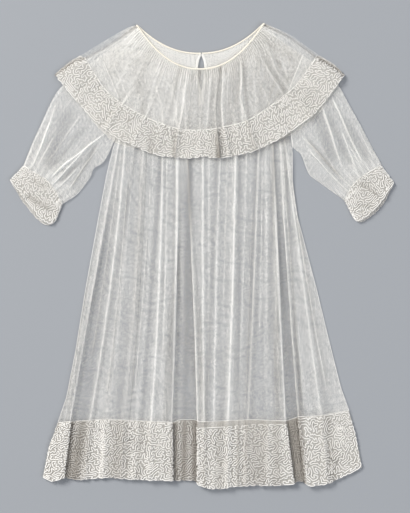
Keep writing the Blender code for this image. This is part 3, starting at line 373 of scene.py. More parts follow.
def clothPiece(
    name, points, material, gather=0.0, shade=0.0, turn=0.0, drawn=1.0, tube=False, backFacing=False,
    leftOut=None,
):
    rows, columns = points.shape[:2]
    sheet = bmesh.new()
    bmesh.ops.create_grid(sheet, x_segments=columns - 1, y_segments=rows - 1, size=1.0)
    if leftOut:
        firstColumn, lastRow = leftOut
        gone = []
        for face in sheet.faces:
            middle = face.calc_center_median()
            inColumn = int((middle.x + 1.0) / 2.0 * (columns - 1)) == firstColumn
            if inColumn and (1.0 - middle.y) / 2.0 * (rows - 1) < lastRow:
                gone.append(face)
        bmesh.ops.delete(sheet, geom=gone, context="FACES")
    mesh = bpy.data.meshes.new(name)
    sheet.to_mesh(mesh)
    sheet.free()

    flat = np.empty(len(mesh.vertices) * 3)
    mesh.vertices.foreach_get("co", flat)
    flat = flat.reshape(-1, 3)
    columnOf = np.rint((flat[:, 0] + 1.0) / 2.0 * (columns - 1)).astype(int)
    rowOf = np.rint((1.0 - flat[:, 1]) / 2.0 * (rows - 1)).astype(int)
    placed = points[rowOf, columnOf] * mm
    placed[:, 1] += gownShift * mm
    mesh.vertices.foreach_set("co", placed.ravel())

    corners = np.empty(len(mesh.loops), int)
    mesh.loops.foreach_get("vertex_index", corners)
    uv = grain(points, turn, drawn, tube, float(len(name)))[rowOf, columnOf][corners]
    mesh.uv_layers.new(name="cloth").data.foreach_set("uv", uv.ravel())

    # Steep and gathered cloth has more threads over each spot
    steep = 1.0 / np.clip(np.abs(surfaceNormals(points)[..., 2]), threads["steepest"], 1.0)
    addValues(mesh, "gather", (steep + gather)[rowOf, columnOf])
    # Painted shade for each point, which the material turns into a darker, browner colour
    addValues(mesh, "shade", (np.zeros((rows, columns)) + shade)[rowOf, columnOf])

    finished = bmesh.new()
    finished.from_mesh(mesh)
    if tube:
        bmesh.ops.remove_doubles(finished, verts=finished.verts, dist=threads["join"] * mm)
    if backFacing:
        bmesh.ops.reverse_faces(finished, faces=finished.faces)
    finished.to_mesh(mesh)
    finished.free()
    return linked(name, mesh, material)


def roundLine(name, line, radius, material, closed=False, sides=0, shadeOf=None, swell=None):
    # A cord, rolled seam or binding along a line, with its length and its turn as UV
    curve = bpy.data.curves.new(name, "CURVE")
    curve.dimensions = "3D"
    curve.bevel_depth = radius * mm
    curve.bevel_resolution = sides
    curve.use_fill_caps = not closed
    spline = curve.splines.new("POLY")
    spline.points.add(len(line) - 1)
    placed = np.ones((len(line), 4))
    placed[:, :3] = line * mm
    placed[:, 1] += gownShift * mm
    spline.points.foreach_set("co", placed.ravel())
    if swell is not None:
        spline.points.foreach_set("radius", swell)
    spline.use_cyclic_u = closed
    draft = bpy.data.objects.new(name, curve)
    bpy.context.scene.collection.objects.link(draft)
    graph = bpy.context.evaluated_depsgraph_get()
    mesh = bpy.data.meshes.new_from_object(draft.evaluated_get(graph))
    bpy.data.objects.remove(draft)
    mesh.name = name
    layer = mesh.uv_layers[0]
    layer.name = "cloth"
    uv = np.empty(len(mesh.loops) * 2)
    layer.data.foreach_get("uv", uv)
    uv = uv.reshape(-1, 2) * np.array([runOf(line)[-1] * mm, 1.0])
    layer.data.foreach_set("uv", uv.ravel())
    # Painted shade for each point of the cord, from the folds and hollows around it
    if shadeOf:
        spots = np.empty(len(mesh.vertices) * 3)
        mesh.vertices.foreach_get("co", spots)
        addValues(mesh, "shade", shadeOf(spots.reshape(-1, 3) / mm - np.array([0.0, gownShift, 0.0])))
    return linked(name, mesh, material)


def place(piece, node, slot):
    # Every piece goes with the gown's one body and stands for a solid of it
    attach(piece, "root")
    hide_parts(node)
    return piece


# Materials: all the cloth is cotton, matt and washed soft

looks = {
    "net": {"light": "f7f6f2", "dark": "edeae3", "pitch": 1.9, "cover": -1.16, "gather": 0.8},
    # The net under the cords is painted grey: painted shade in the gaps between the cords
    "band": {"light": "d5d2cc", "dark": "b5b1aa", "pitch": 1.5, "cover": 0.0, "gather": 0.5},
    "cord": {"light": "f8f6f2", "dark": "eae7e0", "twist": 1.6},
    "seam": {"light": "f8f6f2", "dark": "eae7e0", "twist": 2.2},
    "binding": {"light": "f2ede1", "dark": "dbd3c2", "thread": 0.6, "solidity": 1.0},
    "tape": {"light": "fcfbf7", "dark": "efece3", "thread": 0.6, "solidity": 0.6},
    "foldShade": "7d7468", "foldMost": 0.75, "crinkle": (480.0, 170.0, 0.0), "crinkleMost": 0.9,
    "unevenMost": 0.3, "hollowThin": 0.3, "threadSoft": 0.9, "grooveShadeMost": 0.18, "weaveShadeMost": 0.2,
}


def toLinear(hexColour):
    channels = [int(hexColour[start:start + 2], 16) / 255.0 for start in (0, 2, 4)]
    linear = [c / 12.92 if c <= 0.04045 else ((c + 0.055) / 1.055) ** 2.4 for c in channels]
    return (*linear, 1.0)


def addNode(tree, kind, inputs=None, **settings):
    # A node with its settings; an input given as a socket is linked, any other is set
    node = tree.nodes.new(kind)
    for name, value in settings.items():
        setattr(node, name, value)
    for key, value in (inputs or {}).items():
        if isinstance(value, bpy.types.NodeSocket):
            tree.links.new(value, node.inputs[key])
        else:
            node.inputs[key].default_value = value
    return node


def newMaterial(name, roughness, sheen):
    material = bpy.data.materials.new(name)
    material.use_nodes = True
    shader = material.node_tree.nodes["Principled BSDF"]
    shader.inputs["Roughness"].default_value = roughness
    shader.inputs["Sheen Weight"].default_value = sheen
    shader.inputs["Specular IOR Level"].default_value = 0.25
    return material, shader, partial(addNode, material.node_tree)


def coloured(material, look, lightness, height, strength, depth, paintsShade=True):
    # The look's dark and light tones mixed by lightness, bump from height, and painted fold shade from the
    # shade attribute where paintsShade is set
    tree, add = material.node_tree, partial(addNode, material.node_tree)
    tones = {"Factor": lightness, "A": toLinear(look["dark"]), "B": toLinear(look["light"])}
    tint = add("ShaderNodeMix", tones, data_type="RGBA").outputs["Result"]
    if paintsShade:
        # Painted shade: deep in a fold and in the listed hollows the cotton is painted darker and a little
        # brown, as shade that falls there
        shade = add("ShaderNodeAttribute", attribute_name="shade").outputs["Fac"]
        amount = add("ShaderNodeMath", {0: shade, 1: looks["foldMost"]}, operation="MULTIPLY").outputs[0]
        tones = {"Factor": amount, "A": tint, "B": toLinear(looks["foldShade"])}
        tint = add("ShaderNodeMix", tones, data_type="RGBA").outputs["Result"]
    bump = add("ShaderNodeBump", {"Height": height, "Strength": strength, "Distance": depth * mm})
    shader = tree.nodes["Principled BSDF"]
    tree.links.new(tint, shader.inputs["Base Color"])
    tree.links.new(bump.outputs["Normal"], shader.inputs["Normal"])
    return material


def bobbinNet(name, look):
    # Machine-made cotton bobbin net: soft six-sided meshes, through which the layers below show.
    # Its real meshes are about 1.2 mm wide. They are drawn wider, so that they show at all.
    material, shader, add = newMaterial(name, 0.85, 0.15)
    cloth = add("ShaderNodeUVMap", uv_map="cloth").outputs["UV"]
    waveNumber = 4.0 * math.pi / (math.sqrt(3.0) * look["pitch"] * mm)
    waves = 0.0
    for turn in (0.0, 60.0, 120.0):
        angle = math.radians(turn)
        direction = (waveNumber * math.cos(angle), waveNumber * math.sin(angle), 0.0)
        along = add("ShaderNodeVectorMath", {0: cloth, 1: direction}, operation="DOT_PRODUCT")
        wave = add("ShaderNodeMath", {0: along.outputs["Value"]}, operation="COSINE")
        waves = add("ShaderNodeMath", {0: waves, 1: wave.outputs[0]}, operation="ADD").outputs[0]
    gather = add("ShaderNodeAttribute", attribute_name="gather").outputs["Fac"]
    hollow = add("ShaderNodeAttribute", attribute_name="shade").outputs["Fac"]
    uneven = add(
        "ShaderNodeTexNoise", {"Vector": cloth, "Scale": 28.0, "Detail": 3.0}, noise_dimensions="2D",
    ).outputs["Fac"]
    # Washed net crinkles along its length, and two layers of it make waves with each other
    drawn = add("ShaderNodeVectorMath", {0: cloth, 1: looks["crinkle"]}, operation="MULTIPLY").outputs[0]
    crinkle = add(
        "ShaderNodeTexNoise", {"Vector": drawn, "Scale": 1.0, "Detail": 2.0}, noise_dimensions="2D",
    ).outputs["Fac"]
    # Low values of the three waves lie on the threads. More of them count where cloth is gathered, and fewer
    # where the shade attribute is high: there the cloth is flat and single, and the floor shows through as
    # painted shade
    inside = look["cover"] - look["gather"]
    for amount, share in (
        (crinkle, looks["crinkleMost"]), (gather, look["gather"]), (uneven, looks["unevenMost"]),
        (waves, -1.0), (hollow, -looks["hollowThin"]),
    ):
        inside = add("ShaderNodeMath", {0: amount, 1: share, 2: inside}, operation="MULTIPLY_ADD").outputs[0]
    solid = add(
        "ShaderNodeMapRange", {"Value": inside, "From Max": looks["threadSoft"]},
        interpolation_type="SMOOTHSTEP",
    ).outputs[0]
    material.node_tree.links.new(solid, shader.inputs["Alpha"])
    return coloured(material, look, uneven, solid, 0.4, 0.2)


def twistedCord(name, look):
    # Soft cotton cord of two plies: ivory, matt, with a shallow slanting groove between the plies
    material, _, add = newMaterial(name, 0.8, 0.2)
    cloth = add("ShaderNodeUVMap", uv_map="cloth").outputs["UV"]
    along, around, _ = add("ShaderNodeSeparateXYZ", {"Vector": cloth}).outputs
    turn = add("ShaderNodeMath", {0: along, 1: 2.0 * math.pi / (look["twist"] * mm)}, operation="MULTIPLY")
    spin = add("ShaderNodeMath", {0: around, 1: 4.0 * math.pi, 2: turn.outputs[0]}, operation="MULTIPLY_ADD")
    groove = add("ShaderNodeMath", {0: spin.outputs[0]}, operation="SINE").outputs[0]
    spot = add("ShaderNodeTexCoord").outputs["Object"]
    aged = add("ShaderNodeTexNoise", {"Vector": spot, "Scale": 18.0, "Detail": 4.0}).outputs["Fac"]
    # Painted shade: the groove between the plies is painted a little darker, beside its bump; the aged noise
    # is random tone
    lightness = add("ShaderNodeMath", {0: groove, 1: looks["grooveShadeMost"], 2: aged}, operation="MULTIPLY_ADD")
    return coloured(material, look, lightness.outputs[0], groove, 0.35, 0.15)


def wovenTape(name, look):
    # Plain-woven cotton tape, thin: warp and weft show as a fine chequer of threads. The real threads
    # are about 0.25 mm apart. They are drawn wider, so that they show.
    material, shader, add = newMaterial(name, 0.85, 0.15)
    shader.inputs["Alpha"].default_value = look["solidity"]
    cloth = add("ShaderNodeUVMap", uv_map="cloth").outputs["UV"]
    weave = 1.0
    for part in add("ShaderNodeSeparateXYZ", {"Vector": cloth}).outputs[:2]:
        scaled = add("ShaderNodeMath", {0: part, 1: math.pi / (look["thread"] * mm)}, operation="MULTIPLY")
        wave = add("ShaderNodeMath", {0: scaled.outputs[0]}, operation="SINE")
        weave = add("ShaderNodeMath", {0: weave, 1: wave.outputs[0]}, operation="MULTIPLY").outputs[0]
    aged = add(
        "ShaderNodeTexNoise", {"Vector": cloth, "Scale": 60.0, "Detail": 4.0}, noise_dimensions="2D",
    ).outputs["Fac"]
    # Painted shade: the low spots of the weave's chequer are painted a little darker, beside its bump; the
    # aged noise is random tone
    lightness = add("ShaderNodeMath", {0: weave, 1: looks["weaveShadeMost"], 2: aged}, operation="MULTIPLY_ADD")
    return coloured(material, look, lightness.outputs[0], weave, 0.3, 0.1, paintsShade=False)


netMaterial = bobbinNet("cotton_bobbin_net", looks["net"])
bandNetMaterial = bobbinNet("cotton_net_under_cord", looks["band"])
cordMaterial = twistedCord("couched_cotton_cord", looks["cord"])
bindingMaterial = wovenTape("cotton_bias_binding", looks["binding"])
tapeMaterial = wovenTape("woven_cotton_tape", looks["tape"])
seamMaterial = twistedCord("rolled_cotton_seam", looks["seam"])
print("materials made")


# Front of the skirt: pleats and soft folds fan out from under the bertha to the hem

# line is how clearly the crest shows as a bright line of closer threads
Fold = namedtuple("Fold", "kind top middle seam hem topHalf seamHalf topRise seamRise under line")
skirtFolds = table(Fold, (
    ("lap right", -107.5, -141.0, -170.2, -178.6, 2.5, 5.0, 1.0, 5.4, 7.0, 0.8),
    ("ridge", -99.0, -119.3, -145.3, -152.0, 3.0, 6.0, 1.2, 2.0, 0.0, 0.9),
    ("ridge", -88.0, -103.0, -123.0, -129.0, 4.0, 6.0, 1.2, 1.6, 0.0, 0.15),
    ("ridge", -75.0, -86.0, -101.0, -106.0, 4.0, 7.0, 1.4, 2.4, 0.0, 0.2),
    ("ridge", -62.5, -70.0, -83.0, -87.0, 3.5, 5.0, 1.2, 1.4, 0.0, 0.1),
    ("ridge", -50.8, -56.0, -65.5, -68.0, 4.0, 6.0, 1.2, 2.4, 0.0, 1.0),
    ("lap right", -32.0, -33.5, -38.5, -37.6, 5.0, 5.0, 1.4, 5.4, 12.0, 1.4),
    ("lap left", -20.0, -11.5, -6.5, -6.3, 4.0, 5.0, 1.4, 5.4, 12.0, 0.9),
    ("ridge", 1.6, 1.6, 2.6, 3.6, 3.5, 4.0, 1.2, 1.8, 0.0, 0.8),
    ("ridge", 24.0, 18.5, 15.5, 15.5, 4.0, 4.5, 1.2, 0.6, 0.0, 0.5),
    ("ridge", 43.9, 39.8, 34.0, 33.0, 5.0, 7.0, 1.6, 3.2, 0.0, 1.2),
    ("ridge", 59.0, 53.5, 47.0, 46.0, 3.5, 3.5, 1.2, 1.2, 0.0, 0.15),
    ("ridge", 74.0, 67.0, 59.5, 58.0, 4.0, 5.0, 1.5, 1.4, 0.0, 1.1),
    ("ridge", 84.0, 85.0, 85.0, 87.0, 3.5, 7.0, 1.4, 2.2, 0.0, 0.1),
    ("lap right", 92.0, 101.0, 109.0, 119.8, 3.0, 5.0, 1.2, 5.4, 12.0, 1.4),
    ("lap left", 102.0, 112.5, 124.4, 134.0, 2.5, 5.0, 1.0, 5.4, 8.0, 0.8),
    ("ridge", 108.5, 133.0, 154.5, 163.0, 2.0, 8.0, 0.8, 3.0, 0.0, 0.7),
))

# Narrow pleats of the net between them: the overlap is of its three plies, and start and end are Y
Pleat = namedtuple("Pleat", "top middle seam overlap rise start end faces")
skirtPleats = table(Pleat, (
    (-103.5, -129.5, -157.5, 0.8, 0.7, 165.0, -160.0, 1),
    (-93.5, -108.0, -128.0, 0.8, 0.6, 120.0, -205.0, 1),
    (-79.0, -86.0, -94.0, 0.5, 0.5, 165.0, -20.0, -1),
    (-66.0, -76.0, -91.0, 0.7, 0.5, 60.0, -205.0, 1),
    (-44.5, -47.5, -52.0, 1.2, 0.8, 165.0, -150.0, 1),
    (10.0, 9.0, 9.0, 0.6, 0.6, 165.0, -205.0, 1),
    (33.5, 28.5, 25.0, 0.5, 0.5, 165.0, -90.0, -1),
    (68.0, 62.0, 55.0, 0.5, 0.5, 90.0, -205.0, -1),
    (79.0, 76.0, 72.5, 0.7, 0.6, 165.0, -130.0, 1),
    (89.5, 96.0, 101.0, 0.7, 0.6, 165.0, -205.0, 1),
    (104.5, 119.0, 136.0, 1.0, 0.8, 165.0, -205.0, 1),
    (111.0, 139.0, 168.5, 0.9, 0.8, 165.0, -205.0, 1),
))

# A pleat's points from one side to the other: soft ones in mm, folded ones in parts of its overlap
Ply = namedtuple("Ply", "softX softRise foldX foldRise")
pleatPlies = table(Ply, (
    (-1.9, 0.0, -1.5, 0.05), (-1.4, 0.25, -0.8, 0.5), (-0.9, 0.6, 0.0, 0.9), (-0.4, 0.9, 0.42, 1.0),
    (0.0, 1.0, 0.52, 0.85), (0.3, 0.9, 0.3, 0.7), (0.6, 0.75, -0.3, 0.5), (0.9, 0.5, -0.52, 0.35),
    (1.2, 0.3, -0.3, 0.2), (1.5, 0.15, 0.3, 0.1), (1.9, 0.0, 1.3, 0.0),
))

# A lap's points, the same as its solid's: folded ones in parts of the distance between its plies
lapPlies = table(Ply, (
    (-1.0, 0.5, -1.1, 2.0), (-0.4, 0.9, -0.35, 2.0), (0.0, 1.0, 0.0, 1.5), (0.25, 0.8, -0.35, 1.0),
    (0.45, 0.5, 0.35, 1.0), (0.65, 0.25, 0.0, 0.5), (0.85, 0.1, 0.35, 0.0), (1.1, 0.0, 1.4, 0.0),
))
undercutPlies = (4, 5, 6)

skirt = {
    "ridgePoints": 13, "crestPower": 1.4, "lapSteps": 3, "lapSharp": 0.65, "plainStep": 2.2,
    "yokeRows": 18, "skirtRows": 60, "bandRows": 12, "lineHalf": 1.9, "lapLineHalf": 2.6,
    "undulation": 0.45, "pleatFade": 45.0, "lineDensity": 1.2, "pleatDensity": 0.2,
    "fineStreaks": 0.14, "broadStreaks": 0.12, "gathers": 70, "gatherHeight": 0.35, "gatherDensity": 0.8,
}


def foldX(fold, y):
    # Place of a fold: a parabola through its upper three levels, straight below the seam
    levels = (gown["underarmY"], gown["middleY"], gown["seamY"])
    bend = np.polyfit(levels, (fold.top, fold.middle, fold.seam), 2)
    hem = getattr(fold, "hem", fold.seam)
    below = mixed(fold.seam, hem, (gown["seamY"] - y) / (gown["seamY"] - gown["hemY"]))
    return np.where(y < gown["seamY"], below, np.polyval(bend, y))


def lapStations(fold, y, down):
    # A lapped pleat, from a soft fold above to an S of plies below, and how far it reaches
    rise = mixed(fold.topRise, fold.seamRise, smooth(down / 0.6))
    shut = smooth((down - 0.15) / 0.75)
    half = mixed(fold.topHalf, fold.seamHalf, down)
    pitch = rise / 2.0
    points = []
    for index, ply in enumerate(lapPlies):
        under = fold.under if index in undercutPlies else 0.0
        across = mixed(ply.softX * half, ply.foldX * pitch - under, shut)
        points.append(np.concatenate([across, mixed(ply.softRise * rise, ply.foldRise * pitch, shut)]))
    fine = curveThrough(points, skirt["lapSteps"])
    xs, heights = fine[:, :len(y)], fine[:, len(y):]
    if fold.kind == "lap left":
        xs, heights = -xs[::-1], heights[::-1]
    return foldX(fold, y) + xs, heights, fold.under * shut + rise / 2.0


def panelLevel(knots, x):
    # Height of the cloth between two laps: high at a lapped edge and low away from it
    level = np.zeros_like(x)
    for (startX, start, kept), (endX, end, _) in zip(knots, knots[1:]):
        part = np.clip((x - startX) / np.maximum(endX - startX, 0.001), 0.0, 1.0)
        height = mixed(start, end, part) if kept else start * (1.0 - part) ** 2 + end * part ** 2
        level = np.where((x >= startX) & (x <= endX), height, level)
    return level


def pleatStations(pleat, y):
    # A narrow pleat that opens out into a soft fold and then into plain cloth at its two ends
    begins = smooth((pleat.start - y) / skirt["pleatFade"])
    ends = smooth((y - pleat.end) / skirt["pleatFade"])
    strength = begins * ends
    across = np.array([mixed(ply.softX, ply.foldX * pleat.overlap, strength) for ply in pleatPlies])
    rises = np.array([mixed(ply.softRise, ply.foldRise, strength) for ply in pleatPlies])
    lifts = rises * pleat.rise * strength
    if pleat.faces < 0:
        across, lifts = -across[::-1], lifts[::-1]
    return foldX(pleat, y) + across, lifts, strength


def frontSection(y):
    # Points (x, height, density) across the front at each level y, always the same number of them
    y = np.concatenate([[gown["middleY"]], y])
    down = np.clip((gown["underarmY"] - y) / (gown["underarmY"] - gown["seamY"]), 0.0, 1.0)
    leftX = readTable(sides, "y", "left", y)
    rightX = readTable(sides, "y", "right", y)
    flat = np.zeros_like(y)
    laps = {}
    knots = [(leftX, flat, False)]
    for fold in skirtFolds:
        if fold.kind == "ridge":
            continue
        xs, heights, reach = lapStations(fold, y, down)
        laps[fold] = (xs, heights)
        first, last = (xs[0], heights[0]), (xs[-1], heights[-1])
        if fold.kind == "lap right":
            keptX = np.minimum(first[0], foldX(fold, y) - reach)
            knots += [(keptX, first[1], True), (*first, True), (*last, False)]
        else:
            keptX = np.maximum(last[0], foldX(fold, y) + reach)
            knots += [(*first, True), (*last, True), (keptX, last[1], False)]
    knots.append((rightX, flat, False))

    parts = []
    lastX = leftX
    features = sorted([*skirtFolds, *skirtPleats], key=lambda fold: fold.middle)
    for feature in [*features, None]:
        if feature is None:
            xs, heights, dense = rightX[None], flat[None], flat[None]
        elif feature in laps:
            xs, heights = laps[feature]
            line = np.maximum(0.0, 1.0 - np.abs(xs - foldX(feature, y)) / skirt["lapLineHalf"])
            onTop = heights > skirt["lapSharp"] * heights.max(axis=0)
            dense = skirt["lineDensity"] * feature.line * line * onTop
        elif isinstance(feature, Pleat):
            xs, lifts, strength = pleatStations(feature, y)
            heights = np.array([panelLevel(knots, x) for x in xs]) + lifts
            dense = np.zeros_like(xs) + skirt["pleatDensity"] * strength
        else:
            half = mixed(feature.topHalf, feature.seamHalf, down)
            rise = mixed(feature.topRise, feature.seamRise, down)
            turn = np.linspace(-1.0, 1.0, skirt["ridgePoints"])[:, None]
            crest = (1.0 - np.abs(turn)) ** skirt["crestPower"]
            xs = foldX(feature, y) + turn * half
            heights = np.array([panelLevel(knots, x) for x in xs]) + crest * rise
            line = np.maximum(0.0, 1.0 - np.abs(turn * half) / skirt["lineHalf"])
            dense = skirt["lineDensity"] * feature.line * line
        count = max(1, int(abs(xs[0][0] - lastX[0]) / skirt["plainStep"]))
        for step in range(count):
            skipped = 1.0 if parts else 0.0
            x = mixed(lastX, xs[0], (step + skipped) / (count + skipped))
            parts.append((x, panelLevel(knots, x), flat))
        parts += list(zip(xs, heights, dense))
        lastX = xs[-1]
    return [np.array([part[index] for part in parts]).T[1:] for index in range(3)]


def undulation(plan):
    # The cloth between the folds is never quite flat
    wave = wander(plan[..., 0] * 0.16 + plan[..., 1] * 0.015, 3.0)
    return skirt["undulation"] * wave * smooth((170.0 - plan[..., 1]) / 60.0)


def streaks(points, part):
    # The gathered cloth lies closer in long soft streaks that follow the fan of the skirt
    along = points[..., 1] * 0.012
    fine = wander(part[None] * 190.0 + along, 1.0) * wander(along * 2.0 + part[None] * 40.0, 2.0)
    broad = wander(part[None] * 62.0 + along * 0.5, 6.0)
    return skirt["fineStreaks"] * np.maximum(fine, -0.5) + skirt["broadStreaks"] * broad


def makeBodyFront():
    topX, topHeight, topDense = [values[0] for values in frontSection(np.array([gown["underarmY"]] * 3))]
    part = (topX - topX[0]) / (topX[-1] - topX[0])
    across, down = np.meshgrid(part, np.linspace(0.0, 1.0, skirt["yokeRows"]))
    yoke = bodyYoke(neck["frontDepth"])(across, down)
    gathers = np.sin(across * 2.0 * math.pi * skirt["gathers"] + 2.0 * wander(across * 30.0, 5.0))
    gathers = skirt["gatherHeight"] * gathers * (1.0 - down) ** 2
    yokeHeight = frontBase(yoke) + topHeight * down ** 2 + gathers + undulation(yoke)
    levels = np.linspace(0.0, 1.0, skirt["skirtRows"] + 1)[1:]
    xs, heights, dense = frontSection(mixed(gown["underarmY"], gown["seamY"], levels))
    topY = mixed(armholes[-1].leftY, armholes[-1].rightY, part)
    seamY = readTable(seamDrops, "x", "y", xs) + gown["seamGap"] / 2.0
    lower = np.stack([xs, mixed(topY, seamY, levels[:, None])], axis=-1)
    lowerHeight = frontBase(lower) + heights + undulation(lower)
    points = np.vstack([withHeight(yoke, yokeHeight), withHeight(lower, lowerHeight)])
    gather = np.vstack([topDense * down + skirt["gatherDensity"] * (1.0 - down) ** 3, dense])
    return points, gather + streaks(points, part)


frontPoints, frontGather = makeBodyFront()


# Couched cord: one line that wanders over a band and never crosses itself

cords = {
    "pitch": 2.2, "radius": 0.72, "edge": 0.4, "pitchShare": 0.433, "rowShare": 0.866, "shake": 0.8,
    "shakeAcross": 0.8, "branching": 60, "step": 0.95, "rounds": 16, "push": 0.5, "most": 0.3, "ease": 0.05,
    "reach": 3.4, "floorRoom": 0.03, "finer": {"hem": 0.95, "bertha": 0.84, "cuff": 0.82},
}


def randomTree(length, width, chance):
    # A tree with short branches that fills the band, on a shaken grid of triangles
    apart = cords["pitch"] / cords["pitchShare"]
    rows = max(2, round((width - 2.0 * cords["edge"] - cords["pitch"]) / (apart * cords["rowShare"])) + 1)
    columns = max(3, round((length - cords["pitch"] - apart) / apart))
    rowStep = (width - 2.0 * cords["edge"] - cords["pitch"]) / (rows - 1)
    columnStep = (length - 2.0 * cords["edge"] - cords["pitch"]) / (columns - 0.5)
    first = cords["edge"] + cords["pitch"] / 2.0
    spots = {}
    for row in range(rows):
        for place in range(columns):
            x = first + (place + 0.5 * (row % 2)) * columnStep + chance.uniform(-1.0, 1.0) * cords["shake"]
            y = first + row * rowStep
            if 0 < row < rows - 1:
                y += chance.uniform(-1.0, 1.0) * cords["shake"] * cords["shakeAcross"]
            spots[(place, row)] = (x, y)
    start = (columns // 2, rows // 2)
    joined = {start: []}
    waiting = [(start, other) for other in neighbours(start) if other in spots]
    while waiting:
        low = max(0, len(waiting) - cords["branching"])
        cell, other = waiting.pop(chance.randrange(low, len(waiting)))
        if other in joined:
            continue
        joined[other] = [cell]
        joined[cell].append(other)
        waiting += [(other, beyond) for beyond in neighbours(other) if beyond in spots]
    return spots, joined, start


def neighbours(cell):
    place, row = cell
    shift = row % 2
    return [
        (place + 1, row), (place - 1, row), (place + shift, row + 1), (place + shift - 1, row + 1),
        (place + shift, row - 1), (place + shift - 1, row - 1),
    ]


def wanderingLine(length, width, seed):
    # The outline of the tree, half a pitch from its branches: one closed line that never crosses itself
    spots, joined, start = randomTree(length, width, random.Random(seed))
    half = cords["pitch"] / 2.0
    line = []
    before, here = start, joined[start][0]
    firstStep = (before, here)
    while True:
        x, y = spots[here]
        toBefore = math.atan2(spots[before][1] - y, spots[before][0] - x)
        turns = []
        for other in joined[here]:
            angle = math.atan2(spots[other][1] - y, spots[other][0] - x) - toBefore
            turns.append((angle % math.tau if other != before else math.tau, other))
        sweep, after = min(turns)
        if sweep < 3.3:
            reach = min(half / max(math.sin(sweep / 2.0), 0.3), 1.5 * half)
            halfway = toBefore + sweep / 2.0
            line.append((x + reach * math.cos(halfway), y + reach * math.sin(halfway)))
        else:
            count = 2 + round((sweep - math.pi) / 1.1)
            for number in range(count):
                angle = toBefore + math.pi / 2.0 + (sweep - math.pi) * number / (count - 1)
                line.append((x + half * math.cos(angle), y + half * math.sin(angle)))
        before, here = here, after
        if (before, here) == firstStep:
            return np.array(line)


def spreadEvenly(line, step):
    loop = np.vstack([line, line[:1]])
    count = int(runOf(loop)[-1] / step)
    return atParts(loop, np.arange(count) / count)


def settled(line, length, width):
    # Neighbouring runs of the cord push each other apart until they lie evenly. Points are sorted by
    # rows as deep as the push reaches, so that each one meets only its own row and the next
    reach = cords["reach"]
    rowKey = 10000.0
    for number in range(cords["rounds"]):
        if number % 8 == 0:
            line = spreadEvenly(line, cords["step"])
        count = len(line)
        row = np.floor(line[:, 1] / reach)
        order = np.lexsort((line[:, 0], row))
        spots, key = line[order], (row * rowKey + line[:, 0])[order]
        push = np.zeros_like(line)
        for rowsOn in (0, 1):
            first = np.arange(count) + 1 if rowsOn == 0 else np.searchsorted(key, key + rowKey - reach)
            for step in range(count):
                other = first + step
                near = (other < count) & (key[np.minimum(other, count - 1)] <= key + rowKey * rowsOn + reach)
                if not near.any():
                    break
                one, two = np.nonzero(near)[0], other[near]
                offset = spots[two] - spots[one]
                distance = np.maximum(np.linalg.norm(offset, axis=1), 0.05)
                alongLine = np.abs(order[two] - order[one])
                alongLine = np.minimum(alongLine, count - alongLine)
                counts = (distance < reach) & (alongLine * cords["step"] > 1.6 * distance + 1.2)
                strength = np.where(counts, np.maximum(0.0, 1.0 - distance / reach) ** 2 / distance, 0.0)
                np.add.at(push, order[one], -offset * strength[:, None])
                np.add.at(push, order[two], offset * strength[:, None])
        size = np.maximum(np.linalg.norm(push, axis=1), 0.001)
        push *= (np.minimum(size * cords["push"], cords["most"]) / size)[:, None]
        middle = (np.roll(line, 1, axis=0) + np.roll(line, -1, axis=0)) / 2.0
        line = line + push + cords["ease"] * (middle - line)
        line[:, 0] = np.clip(line[:, 0], cords["edge"], length - cords["edge"])
        line[:, 1] = np.clip(line[:, 1], cords["edge"], width - cords["edge"])
    return spreadEvenly(line, cords["step"])


def rounded(line, times=2):
    # Corners of a closed line are cut off
    for _ in range(times):
        after = np.roll(line, -1, axis=0)
        line = np.stack([0.75 * line + 0.25 * after, 0.25 * line + 0.75 * after], axis=1).reshape(-1, 2)
    return line


def onSurface(points, normals, flat, length, width, lift):
    # Places a flat line on a band's grid, lift above it
    middle = points[points.shape[0] // 2]
    run = runOf(middle)
    columnAt = np.interp(flat[:, 0] / length * run[-1], run, np.arange(len(run)))
    downRun = runOf(points[:, points.shape[1] // 2])
    rowAt = np.interp(flat[:, 1] / width * downRun[-1], downRun, np.arange(len(downRun)))
    firstColumn = np.clip(columnAt.astype(int), 0, points.shape[1] - 2)
    firstRow = np.clip(rowAt.astype(int), 0, points.shape[0] - 2)
    crossPart = (columnAt - firstColumn)[:, None]
    downPart = (rowAt - firstRow)[:, None]

    def read(grid):
        upper = mixed(grid[firstRow, firstColumn], grid[firstRow, firstColumn + 1], crossPart)
        lower = mixed(grid[firstRow + 1, firstColumn], grid[firstRow + 1, firstColumn + 1], crossPart)
        return mixed(upper, lower, downPart)

    return read(points) + lift * read(normals)


def couchCord(
    name, points, normals, lift, seed, finer=1.0, plainTop=((0.0, 0.0),), widthAt=0.5, lowest=0.0,
    shadeOf=None,
):
    # Covers one band with cord; lift is the cord's middle above the band's grid, and finer draws it smaller
    length = runOf(points[points.shape[0] // 2])[-1]
    width = runOf(points[:, int(points.shape[1] * widthAt)])[-1]
    plan = rounded(wanderingLine(length / finer, width / finer, seed))
    flat = settled(plan, length / finer, width / finer) * finer
    places, margins = np.array(plainTop).T
    margin = np.interp(flat[:, 0] / length, places, margins)
    flat[:, 1] = margin + flat[:, 1] * (width - margin) / width
    line = onSurface(points, normals, flat, length, width, lift)
    line[:, 2] = np.maximum(line[:, 2], lowest)
    return roundLine(name, line, cords["radius"] * finer, cordMaterial, closed=True, shadeOf=shadeOf)


bands = {"netBelow": 0.4, "cordAbove": 0.22}


